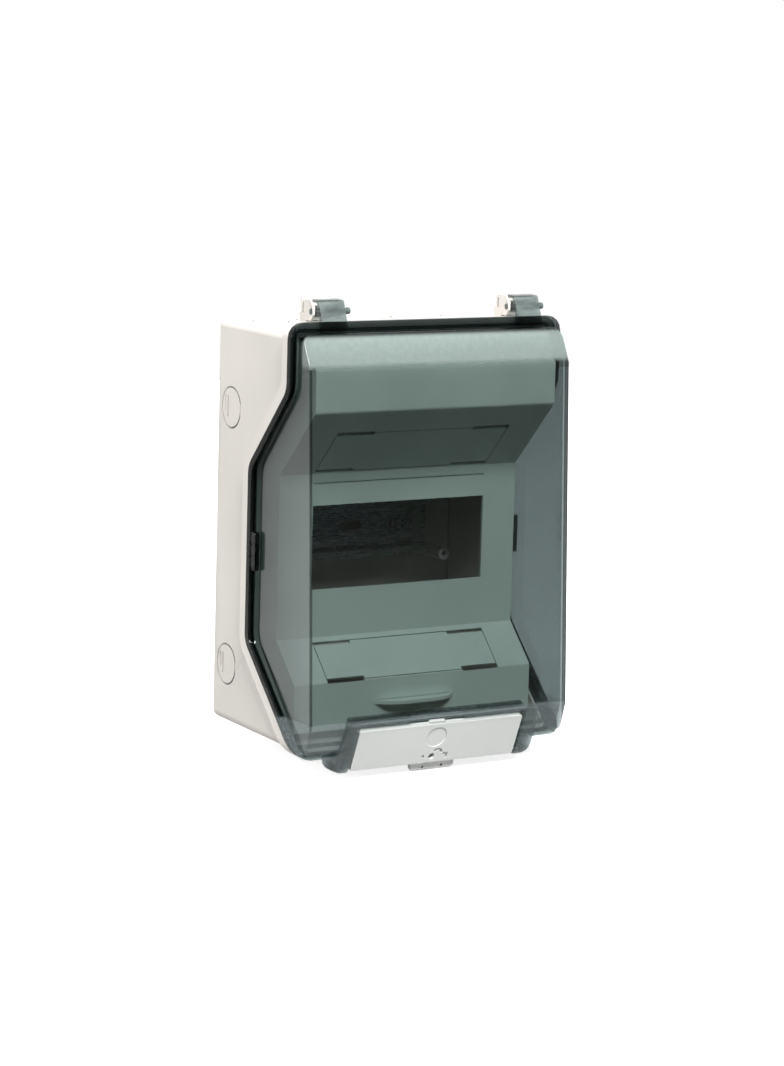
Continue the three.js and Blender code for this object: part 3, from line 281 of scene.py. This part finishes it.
def moulded_plastic(name, tone, rough, grain, variation=0.05, dust=0.25):
    """Satin moulding: spark-eroded grain, slow tone drift, painted shade in its crevices, faint rub marks
    and settled dust.
    """
    finish = Finish(name)
    drift = finish.spread(finish.noise(14.0, 2.0), 0.0, 1.0)
    tone_now = finish.between(drift, shade(tone, 1 - variation), shade(tone, 1 + variation * 0.6))
    speck = finish.spread(finish.noise(0.5 / grain, 1.0), 0.0, dust, 0.68, 0.8)
    tone_now = finish.between(speck, tone_now, shade(tone, 0.9))
    # painted shade: the tone darkens towards 40% in crevices, grooves and gaps between parts
    tone_now = finish.between(finish.painted_crevice_shade(CREVICE_REACH), shade(tone, 0.4), tone_now)
    rubs = finish.noise(60.0, 4.0, 0.7, finish.stretched((1.0, 1.0, 0.12)))
    gloss = finish.spread(rubs, rough - 0.07, rough + 0.08)
    fine = finish.noise(1.0 / grain, 2.0, 0.6)
    coarse = finish.noise(0.12 / grain, 2.0, 0.5)
    normal = finish.bump(coarse, 0.0004, 0.12)
    normal = finish.bump(fine, 0.00012, 0.22, normal)
    return finish.show(finish.principled(tone_now, gloss, normal, specular=0.3).outputs["BSDF"])


def clip_frosting(finish, colours, facing, place, shader):
    """Worn grey frosting on the front of a hinge clip, above its tab."""
    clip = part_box("hinge_clip_left")
    tab = clip[0].z + CLIP_TAB
    front = finish.spread(facing.outputs["Y"], 0.6, 0.0, -0.85, -0.6)
    above = finish.spread(place.outputs["Z"], 0.0, 1.0, tab - 0.0003, tab + 0.0003)
    worn = finish.spread(finish.noise(160.0, 4.0, 0.6, finish.stretched((0.3, 1.0, 1.0))), 0.0, 1.0)
    tone = finish.between(worn, shade(colours.clip_frost, 0.6), shade(colours.clip_frost, 1.3))
    grain = finish.bump(finish.noise(900.0, 2.0, 0.6), 0.0002, 0.25)
    frost = finish.principled(tone, 0.3, grain)
    share = finish.times(finish.times(front, above), finish.unless_shadow(0.7))
    return finish.mix(share, shader, frost.outputs["BSDF"])


def door_frosting(finish, colours, facing, place, shader):
    """Pale frosting on the door's brow, made lighter towards its top by painted light, and a light texture
    on the latch bezel.
    """
    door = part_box("door_shell")
    front_top = door[1].z - FRONT_DROP
    above = finish.times(
        finish.spread(place.outputs["Z"], 0.0, 1.0, front_top - 0.0005, front_top + 0.0032),
        finish.spread(place.outputs["Z"], 1.0, 0.0, front_top + BROW_RISE, front_top + BROW_RISE + 0.0023),
    )
    ahead = finish.spread(place.outputs["Y"], 1.0, 0.0, BROW_FRONT, BROW_FRONT + 0.003)
    veil = finish.spread(finish.noise(300.0, 3.0, 0.7), 0.66, 0.74)
    grain = finish.bump(finish.noise(1500.0, 2.0, 0.6), 0.0002, 0.4)
    # painted light: the brow's haze is made lighter towards its top
    painted_light_rise = finish.spread(place.outputs["Z"], 0.0, 1.0, front_top, front_top + 0.0165)
    falling = finish.between(painted_light_rise, shade(colours.haze, 0.84), shade(colours.haze, 1.1))
    drift = finish.spread(finish.noise(16.0, 2.0, 0.6, finish.stretched((0.2, 1.0, 1.0))), 0.0, 0.35)
    pale = finish.between(drift, falling, shade(colours.haze, 0.8))
    frost = finish.principled(pale, 0.34, grain)
    share = finish.times(finish.times(above, ahead), finish.times(veil, finish.unless_shadow(0.8)))
    shader = finish.mix(share, shader, frost.outputs["BSDF"])
    bezel_top = door[0].z + BEZEL_RISE
    bezel = finish.spread(place.outputs["Z"], 0.24, 0.0, bezel_top - 0.001, bezel_top + 0.0005)
    speckle = finish.spread(finish.noise(700.0, 3.0, 0.7), 0.6, 1.0)
    texture = finish.principled(colours.bezel_haze, 0.4, grain)
    return finish.mix(finish.times(bezel, speckle), shader, texture.outputs["BSDF"])


def smoked_plastic(name, colours, frosting=None):
    """Clear smoked plastic, darker in its thickness, with painted shade along its rounded edges, flange
    and corners, and a frosting over part of it.
    """
    finish = Finish(name)
    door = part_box("door_shell")
    place = finish.add("ShaderNodeSeparateXYZ")
    finish.link(finish.place, place.inputs["Vector"])
    swirl = finish.noise(9.0, 3.0, 0.5)
    through = finish.add("ShaderNodeBsdfTransparent")
    tone = finish.between(
        finish.spread(swirl, 0.0, 1.0), shade(colours.tint, 0.985), shade(colours.tint, 1.01)
    )
    facing = finish.add("ShaderNodeSeparateXYZ")
    finish.link(finish.add("ShaderNodeTexCoord").outputs["Normal"], facing.inputs["Vector"])
    # painted shade: faces that turn from the front towards the sides get a darker tint, in place of light
    # bent away at the rounded edges
    sideways = finish.size(facing.outputs["X"])
    painted_edge_shade = finish.times(
        finish.spread(sideways, 0.0, 1.0, 0.25, 0.5),
        finish.spread(sideways, 1.0, 0.0, 0.86, 0.97),
    )
    tone = finish.between(painted_edge_shade, tone, shade(colours.tint, 0.42))
    # painted shade: the flange's outer rim gets a darker tint
    flange_edge = door[1].x - FLANGE_EDGE
    flange = finish.spread(finish.size(place.outputs["X"]), 0.0, 1.0, flange_edge, flange_edge + 0.0006)
    tone = finish.between(flange, tone, shade(colours.tint, 0.5))
    points = [point.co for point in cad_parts["door_shell"].data.vertices]
    reach = max(abs(point.x) - point.y + DOOR_LEAN * point.z for point in points)
    leaning = finish.add("ShaderNodeMath", operation="MULTIPLY_ADD")
    finish.link(place.outputs["Z"], leaning.inputs[0])
    leaning.inputs[1].default_value = DOOR_LEAN
    finish.link(finish.size(place.outputs["X"]), leaning.inputs[2])
    around = finish.add("ShaderNodeMath", operation="SUBTRACT")
    finish.link(leaning.outputs["Value"], around.inputs[0])
    finish.link(place.outputs["Y"], around.inputs[1])
    leaving = finish.add("ShaderNodeNewGeometry").outputs["Backfacing"]
    # painted shade: a dark line along the door's front corners
    line_edge = reach - CORNER_LINE
    corner = finish.spread(around.outputs["Value"], 0.0, 1.0, line_edge, line_edge + 0.0006)
    tone = finish.between(corner, tone, shade(colours.tint, 0.5))
    # painted shade: back faces near a corner get a much darker tint
    exit_edge = reach - CORNER_EXIT
    near = finish.spread(around.outputs["Value"], 0.0, 1.0, exit_edge, exit_edge + 0.0008)
    tone = finish.between(finish.times(near, leaving), tone, shade(colours.tint, 0.22))
    light_path = finish.add("ShaderNodeLightPath")
    tone = finish.between(light_path.outputs["Is Shadow Ray"], tone, (1.0, 1.0, 1.0))
    finish.link(tone, through.inputs["Color"])
    ripple = finish.bump(finish.noise(28.0, 2.0, 0.5), 0.0012, 0.10)
    rubbed = finish.noise(130.0, 5.0, 0.75, finish.stretched((1.0, 1.0, 0.2)))
    scuffs = finish.spread(rubbed, 0.02, 0.10, 0.5, 0.75)
    gloss = finish.add("ShaderNodeBsdfGlossy")
    gloss.inputs["Color"].default_value = (1, 1, 1, 1)
    finish.link(scuffs, gloss.inputs["Roughness"])
    finish.link(ripple, gloss.inputs["Normal"])
    fresnel = finish.add("ShaderNodeFresnel")
    fresnel.inputs["IOR"].default_value = PLASTIC_IOR
    finish.link(ripple, fresnel.inputs["Normal"])
    outside = finish.rest(leaving)
    mirrored = finish.times(fresnel.outputs["Fac"], outside)
    # the painted shade on the flange and along the corner line also weakens the reflection there
    mirrored = finish.times(mirrored, finish.rest(finish.times(flange, 0.6)))
    mirrored = finish.times(mirrored, finish.rest(finish.times(corner, 0.8)))
    shader = finish.mix(mirrored, through.outputs["BSDF"], gloss.outputs["BSDF"])
    if frosting:
        shader = frosting(finish, colours, facing, place, shader)
    absorb = finish.add("ShaderNodeVolumeAbsorption")
    absorb.inputs["Color"].default_value = (*colours.depth_tint, 1)
    absorb.inputs["Density"].default_value = SMOKED_DENSITY
    finish.link(absorb.outputs["Volume"], finish.output.inputs["Volume"])
    return finish.show(shader)


def plated_steel(name, tone, along=(0.03, 1.0, 1.0)):
    """Zinc plate: spangled tone, drawn lines along the length and a few duller patches."""
    finish = Finish(name)
    spangle = finish.add("ShaderNodeTexVoronoi", feature="F1")
    spangle.inputs["Scale"].default_value = 420.0
    finish.link(finish.place, spangle.inputs["Vector"])
    cell = finish.spread(spangle.outputs["Distance"], 0.0, 1.0, 0.1, 0.7)
    tone_now = finish.between(cell, shade(tone, 0.86), shade(tone, 1.12))
    dull = finish.spread(finish.noise(45.0, 4.0, 0.65), 0.0, 0.5, 0.52, 0.75)
    tone_now = finish.between(dull, tone_now, (0.42, 0.44, 0.44))
    lines = finish.noise(2600.0, 2.0, 0.6, finish.stretched(along))
    gloss = finish.times(finish.spread(lines, 0.20, 0.32), finish.times(dull, 0.25), "ADD")
    normal = finish.bump(lines, 0.00001, 0.03)
    return finish.show(finish.principled(tone_now, gloss, normal, metallic=1.0).outputs["BSDF"])


def drawn_brass(name, tone):
    """Drawn brass bar with length-wise lines and a light tarnish."""
    finish = Finish(name)
    lines = finish.noise(1200.0, 2.0, 0.6, finish.stretched((0.02, 1.0, 1.0)))
    tarnish = finish.spread(finish.noise(120.0, 5.0, 0.7), 0.0, 0.6, 0.5, 0.8)
    tone_now = finish.between(tarnish, tone, shade(tone, 0.55))
    gloss = finish.times(finish.spread(lines, 0.22, 0.36), finish.times(tarnish, 0.3), "ADD")
    normal = finish.bump(lines, 0.00005, 0.5)
    return finish.show(finish.principled(tone_now, gloss, normal, metallic=1.0).outputs["BSDF"])


def foam_rubber(name, tone):
    """Closed-cell foam strip: matt, pitted and slightly bloomed."""
    finish = Finish(name)
    cells = finish.add("ShaderNodeTexVoronoi", feature="F1")
    cells.inputs["Scale"].default_value = 1600.0
    finish.link(finish.place, cells.inputs["Vector"])
    bloom = finish.spread(finish.noise(90.0, 3.0), 0.0, 0.5)
    tone_now = finish.between(bloom, tone, shade(tone, 2.2))
    gloss = finish.spread(finish.noise(200.0, 2.0), 0.72, 0.9)
    normal = finish.bump(cells.outputs["Distance"], 0.0003, 0.6)
    return finish.show(finish.principled(tone_now, gloss, normal, specular=0.3).outputs["BSDF"])


# ---------------------------------------------------------------- mesh helpers


def merged_copy(nodes):
    """A bmesh of CAD nodes with their shared corners joined."""
    made = bmesh.new()
    for name in nodes:
        made.from_mesh(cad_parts[name].data)
    bmesh.ops.remove_doubles(made, verts=made.verts, dist=MERGE)
    bmesh.ops.dissolve_degenerate(made, edges=made.edges, dist=MERGE)
    return made


def sharp(edge):
    return len(edge.link_faces) != 2 or edge.calc_face_angle(0) > SMOOTH_ANGLE


def flat_areas(made):
    """For each face, the area of the whole flat that it is part of."""
    areas = {}
    for start in made.faces:
        if start in areas:
            continue
        areas[start] = 0.0
        flat, waiting = [], [start]
        while waiting:
            face = waiting.pop()
            flat.append(face)
            for edge in face.edges:
                if edge.calc_face_angle(1) < FLAT_ANGLE:
                    for other in edge.link_faces:
                        if other not in areas:
                            areas[other] = 0.0
                            waiting.append(other)
        total = sum(face.calc_area() for face in flat)
        for face in flat:
            areas[face] = total
    return areas


def corner_normals(made):
    """One normal for each face corner: flats stay flat, and what lies between them is smooth."""
    areas = flat_areas(made)
    normals = {}
    for corner in made.verts:
        loops = list(corner.link_loops)
        faces = {loop.face: loop for loop in loops}
        done = set()
        for loop in loops:
            if loop.face in done:
                continue
            fan, waiting = [], [loop.face]
            done.add(loop.face)
            while waiting:
                face = waiting.pop()
                fan.append(face)
                for edge in corner.link_edges:
                    if face in edge.link_faces and not sharp(edge):
                        for other in edge.link_faces:
                            if other not in done:
                                done.add(other)
                                waiting.append(other)
            total = sum((face.normal * areas[face] * faces[face].calc_angle() for face in fan), Vector())
            for face in fan:
                normals[faces[face]] = total.normalized()
    return [normals[loop] for face in made.faces for loop in face.loops]


def set_piece(name, made, material, body, nodes, width=0.0, segments=2):
    """Turns the bmesh into a finished piece on its body that stands for its CAD nodes."""
    if width:
        bmesh.ops.bevel(
            made, geom=[e for e in made.edges if sharp(e)], offset=width, offset_type="OFFSET",
            segments=segments, profile=0.5, affect="EDGES", clamp_overlap=False, material=-1,
            miter_outer="ARC", spread=width,
        )
    made.normal_update()
    for face in made.faces:
        face.smooth = True
    for edge in made.edges:
        edge.smooth = not sharp(edge)
    normals = corner_normals(made)
    mesh = bpy.data.meshes.new(name)
    made.to_mesh(mesh)
    made.free()
    mesh.normals_split_custom_set(normals)
    piece = bpy.data.objects.new(name, mesh)
    bpy.context.scene.collection.objects.link(piece)
    mesh.materials.append(material)
    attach(piece, body)
    if nodes:
        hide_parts(*nodes)
    return piece


def stand_for(node, material, body, width, segments=2):
    """A finished, edge-rounded copy of one CAD node."""
    return set_piece(f"{node}_moulded", merged_copy([node]), material, body, [node], width, segments)


def settings():
    scene = bpy.context.scene
    return scene.box_sizes, scene.box_colours, scene.box_studio


def shell_finish():
    sizes, colours, _ = settings()
    return moulded_plastic("Moulded shell", colours.shell, 0.42, sizes.grain_size)


# ---------------------------------------------------------------- operators


class BOX_OT_body(bpy.types.Operator):
    """Moulded body with its rim, knockout rings, posts and bosses"""

    bl_idname = "combiner_box.body"
    bl_label = "Body"

    def execute(self, context):
        sizes, _, _ = settings()
        stand_for("body_shell", shell_finish(), "enclosure", sizes.trim_edge)
        return {"FINISHED"}


class BOX_OT_gasket(bpy.types.Operator):
    """Foam gasket in the groove of the rim"""

    bl_idname = "combiner_box.gasket"
    bl_label = "Gasket"

    def execute(self, context):
        _, colours, _ = settings()
        stand_for("door_gasket", foam_rubber("Foam gasket", colours.rubber), "enclosure", 0.0)
        return {"FINISHED"}


class BOX_OT_hinges(bpy.types.Operator):
    """Hinge lugs, pins and the door's smoked clips"""

    bl_idname = "combiner_box.hinges"
    bl_label = "Hinges"

    def execute(self, context):
        sizes, colours, _ = settings()
        pins = moulded_plastic("Hinge pin", colours.pin, 0.32, sizes.grain_size)
        smoked = smoked_plastic("Smoked clip", colours, clip_frosting)
        for side in SIDES:
            stand_for(f"hinge_lug_{side}", shell_finish(), "enclosure", sizes.trim_edge)
            stand_for(f"hinge_pin_{side}", pins, "enclosure", sizes.metal_edge)
            stand_for(f"hinge_clip_{side}", smoked, "door", sizes.trim_edge)
        return {"FINISHED"}


class BOX_OT_catches(bpy.types.Operator):
    """Side catches: combs on the rim and smoked blocks on the door"""

    bl_idname = "combiner_box.catches"
    bl_label = "Side catches"

    def execute(self, context):
        sizes, colours, _ = settings()
        smoked = smoked_plastic("Smoked block", colours)
        for side in SIDES:
            stand_for(f"catch_comb_{side}", shell_finish(), "enclosure", sizes.metal_edge)
            stand_for(f"catch_block_{side}", smoked, "door", sizes.trim_edge)
        return {"FINISHED"}


class BOX_OT_door(bpy.types.Operator):
    """Smoked door with its frosted brow, flange and latch bezel"""

    bl_idname = "combiner_box.door"
    bl_label = "Door"

    def execute(self, context):
        sizes, colours, _ = settings()
        smoked = smoked_plastic("Smoked door", colours, door_frosting)
        stand_for("door_shell", smoked, "door", sizes.door_edge)
        return {"FINISHED"}


class BOX_OT_latch(bpy.types.Operator):
    """Lever latch: the plate with its thumb dimple, its pins, and the keeper"""

    bl_idname = "combiner_box.latch"
    bl_label = "Latch"

    def execute(self, context):
        sizes, colours, _ = settings()
        pale = moulded_plastic("Latch plate", colours.latch, 0.38, sizes.grain_size, 0.03)
        stand_for("latch_plate", pale, "latch", sizes.trim_edge)
        keeper = moulded_plastic("Keeper", colours.keeper, 0.4, sizes.grain_size, 0.02)
        stand_for("latch_keeper", keeper, "enclosure", sizes.trim_edge)
        steel = plated_steel("Zinc plate", colours.steel)
        for side in SIDES:
            stand_for(f"latch_pin_{side}", steel, "door", sizes.metal_edge)
        return {"FINISHED"}


class BOX_OT_cover(bpy.types.Operator):
    """Inner cover with its window and two blanking plates"""

    bl_idname = "combiner_box.cover"
    bl_label = "Inner cover"

    def execute(self, context):
        sizes, colours, _ = settings()
        grey = moulded_plastic("Inner cover", colours.cover, 0.46, sizes.grain_size)
        for node in ("inner_cover", "blank_plate_upper", "blank_plate_lower"):
            stand_for(node, grey, "enclosure", sizes.metal_edge)
        return {"FINISHED"}


class BOX_OT_rail(bpy.types.Operator):
    """Mounting rail and its screws"""

    bl_idname = "combiner_box.rail"
    bl_label = "Rail"

    def execute(self, context):
        sizes, colours, _ = settings()
        steel = plated_steel("Zinc plate", colours.steel)
        stand_for("din_rail", steel, "enclosure", sizes.metal_edge)
        for side in SIDES:
            stand_for(f"rail_screw_{side}", steel, "enclosure", sizes.metal_edge)
        return {"FINISHED"}


class BOX_OT_terminals(bpy.types.Operator):
    """Terminal carriers, brass bars and their screws"""

    bl_idname = "combiner_box.terminals"
    bl_label = "Terminals"

    def execute(self, context):
        sizes, colours, _ = settings()
        grey = moulded_plastic("Terminal carrier", colours.carrier, 0.48, sizes.grain_size)
        brass = drawn_brass("Drawn brass", colours.brass)
        steel = plated_steel("Zinc plate", colours.steel)
        for end in ENDS:
            stand_for(f"terminal_carrier_{end}", grey, "enclosure", sizes.trim_edge)
            stand_for(f"terminal_bar_{end}", brass, "enclosure", sizes.metal_edge)
            for number in SCREWS:
                stand_for(f"terminal_screw_{end}_{number}", steel, "enclosure", sizes.metal_edge)
        return {"FINISHED"}


def soft_light(name, place, aim, size, power):
    light = bpy.data.lights.new(name, "AREA")
    light.shape = "RECTANGLE"
    light.size, light.size_y = size
    light.energy = power
    lamp = bpy.data.objects.new(name, light)
    bpy.context.scene.collection.objects.link(lamp)
    lamp.location = place
    lamp.rotation_euler = (Vector(aim) - Vector(place)).to_track_quat("-Z", "Y").to_euler()
    return lamp


def pale_floor(studio):
    """White floor that hardly lights the box from below or shows in the front of its door."""
    floor = Finish("Pale floor")
    mottle = floor.spread(floor.noise(3.0, 2.0), 0.0, 1.0)
    tone = floor.between(mottle, shade(studio.backdrop, 0.99), studio.backdrop)
    path = floor.add("ShaderNodeLightPath").outputs
    tone = floor.between(path["Is Diffuse Ray"], tone, studio.bounce)
    place = floor.add("ShaderNodeSeparateXYZ")
    floor.link(floor.place, place.inputs["Vector"])
    behind = floor.spread(place.outputs["Y"], 0.0, 1.0, -0.3, 0.1)
    mirrored = floor.between(behind, shade(studio.bounce, 0.2), shade(studio.backdrop, 0.85))
    tone = floor.between(path["Is Glossy Ray"], tone, mirrored)
    shader = floor.principled(tone, 0.9, specular=0.1)
    shader.inputs["Emission Color"].default_value = (1, 1, 1, 1)
    floor.link(floor.times(path["Is Camera Ray"], 0.8), shader.inputs["Emission Strength"])
    return floor.show(shader.outputs["BSDF"])


def studio_world(world, surround):
    """White behind the box, dim in front of it, and white where the camera sees it directly."""
    world.use_nodes = True
    tree = world.node_tree

    def light(strength):
        made = tree.nodes.new("ShaderNodeBackground")
        made.inputs["Color"].default_value = (1, 1, 1, 1)
        if isinstance(strength, float):
            made.inputs["Strength"].default_value = strength
        else:
            tree.links.new(strength, made.inputs["Strength"])
        return made.outputs["Background"]

    def choose(share, first, second):
        made = tree.nodes.new("ShaderNodeMixShader")
        for source, socket in zip((share, first, second), made.inputs):
            tree.links.new(source, socket)
        return made.outputs["Shader"]

    direction = tree.nodes.new("ShaderNodeSeparateXYZ")
    tree.links.new(tree.nodes.new("ShaderNodeTexCoord").outputs["Generated"], direction.inputs["Vector"])
    behind = tree.nodes.new("ShaderNodeMapRange")
    behind.inputs["From Min"].default_value = 0.0
    behind.inputs["From Max"].default_value = 0.6
    behind.inputs["To Min"].default_value = 0.06
    behind.inputs["To Max"].default_value = 1.0
    tree.links.new(direction.outputs["Y"], behind.inputs["Value"])
    path = tree.nodes.new("ShaderNodeLightPath").outputs
    shader = choose(path["Is Glossy Ray"], light(surround), light(behind.outputs["Result"]))
    shader = choose(path["Is Camera Ray"], shader, light(1.0))
    tree.links.new(shader, tree.nodes["World Output"].inputs["Surface"])


class BOX_OT_stage(bpy.types.Operator):
    """Pale floor, soft studio light and the camera"""

    bl_idname = "combiner_box.stage"
    bl_label = "Stage"

    def execute(self, context):
        _, _, studio = settings()
        made = bmesh.new()
        bmesh.ops.create_grid(made, x_segments=1, y_segments=1, size=1.6)
        mesh = bpy.data.meshes.new("floor")
        made.to_mesh(mesh)
        made.free()
        floor = bpy.data.objects.new("floor", mesh)
        floor.location.z = cad_low.z - 0.0005
        mesh.materials.append(pale_floor(studio))
        context.scene.collection.objects.link(floor)

        world = bpy.data.worlds.new("Studio")
        studio_world(world, studio.surround)
        context.scene.world = world
        middle = (cad_low + cad_high) / 2
        soft_light("overhead", (0.0, 0.0, 3.0), middle, (5.0, 5.0), studio.top)
        soft_light("key", (-0.5, -2.0, 2.15), middle, (1.7, 0.7), studio.key)
        soft_light("side", (-2.2, 1.0, 1.2), middle, (1.4, 1.8), studio.side)

        lens = bpy.data.cameras.new("camera")
        lens.sensor_width = 36
        lens.lens = studio.lens
        lens.clip_start = 0.05
        lens.clip_end = 50
        camera = bpy.data.objects.new("camera", lens)
        context.scene.collection.objects.link(camera)
        turn = (
            Matrix.Rotation(-studio.yaw, 4, "Z")
            @ Matrix.Rotation(math.pi / 2 - studio.pitch, 4, "X")
            @ Matrix.Rotation(studio.roll, 4, "Z")
        )
        camera.matrix_world = Matrix.Translation(Vector(studio.camera_place)) @ turn
        context.scene.camera = camera
        context.scene.view_settings.view_transform = "Standard"
        return {"FINISHED"}


# ---------------------------------------------------------------- panel and registration

PIECE_OPERATORS = (
    BOX_OT_body,
    BOX_OT_gasket,
    BOX_OT_hinges,
    BOX_OT_catches,
    BOX_OT_door,
    BOX_OT_latch,
    BOX_OT_cover,
    BOX_OT_rail,
    BOX_OT_terminals,
    BOX_OT_stage,
)


class BOX_PT_panel(bpy.types.Panel):
    """Lists the pieces of the combiner box"""

    bl_idname = "BOX_PT_panel"
    bl_label = "Combiner Box"
    bl_space_type = "VIEW_3D"
    bl_region_type = "UI"
    bl_category = "Combiner Box"

    def draw(self, context):
        for operator in PIECE_OPERATORS:
            self.layout.operator(operator.bl_idname)
        for group in (context.scene.box_sizes, context.scene.box_colours, context.scene.box_studio):
            column = self.layout.column(align=True)
            for key in group.bl_rna.properties.keys():
                if key not in {"rna_type", "name"}:
                    column.prop(group, key)


CLASSES = (MouldingSizes, FinishColours, StudioSettings, *PIECE_OPERATORS, BOX_PT_panel)


def register():
    for made in CLASSES:
        bpy.utils.register_class(made)
    bpy.types.Scene.box_sizes = PointerProperty(type=MouldingSizes)
    bpy.types.Scene.box_colours = PointerProperty(type=FinishColours)
    bpy.types.Scene.box_studio = PointerProperty(type=StudioSettings)


def unregister():
    del bpy.types.Scene.box_studio
    del bpy.types.Scene.box_colours
    del bpy.types.Scene.box_sizes
    for made in reversed(CLASSES):
        bpy.utils.unregister_class(made)


def main():
    register()
    bpy.ops.combiner_box.body()
    bpy.ops.combiner_box.gasket()
    bpy.ops.combiner_box.hinges()
    bpy.ops.combiner_box.catches()
    bpy.ops.combiner_box.door()
    bpy.ops.combiner_box.latch()
    bpy.ops.combiner_box.cover()
    bpy.ops.combiner_box.rail()
    bpy.ops.combiner_box.terminals()
    bpy.ops.combiner_box.stage()


if __name__ == "__main__":
    main()
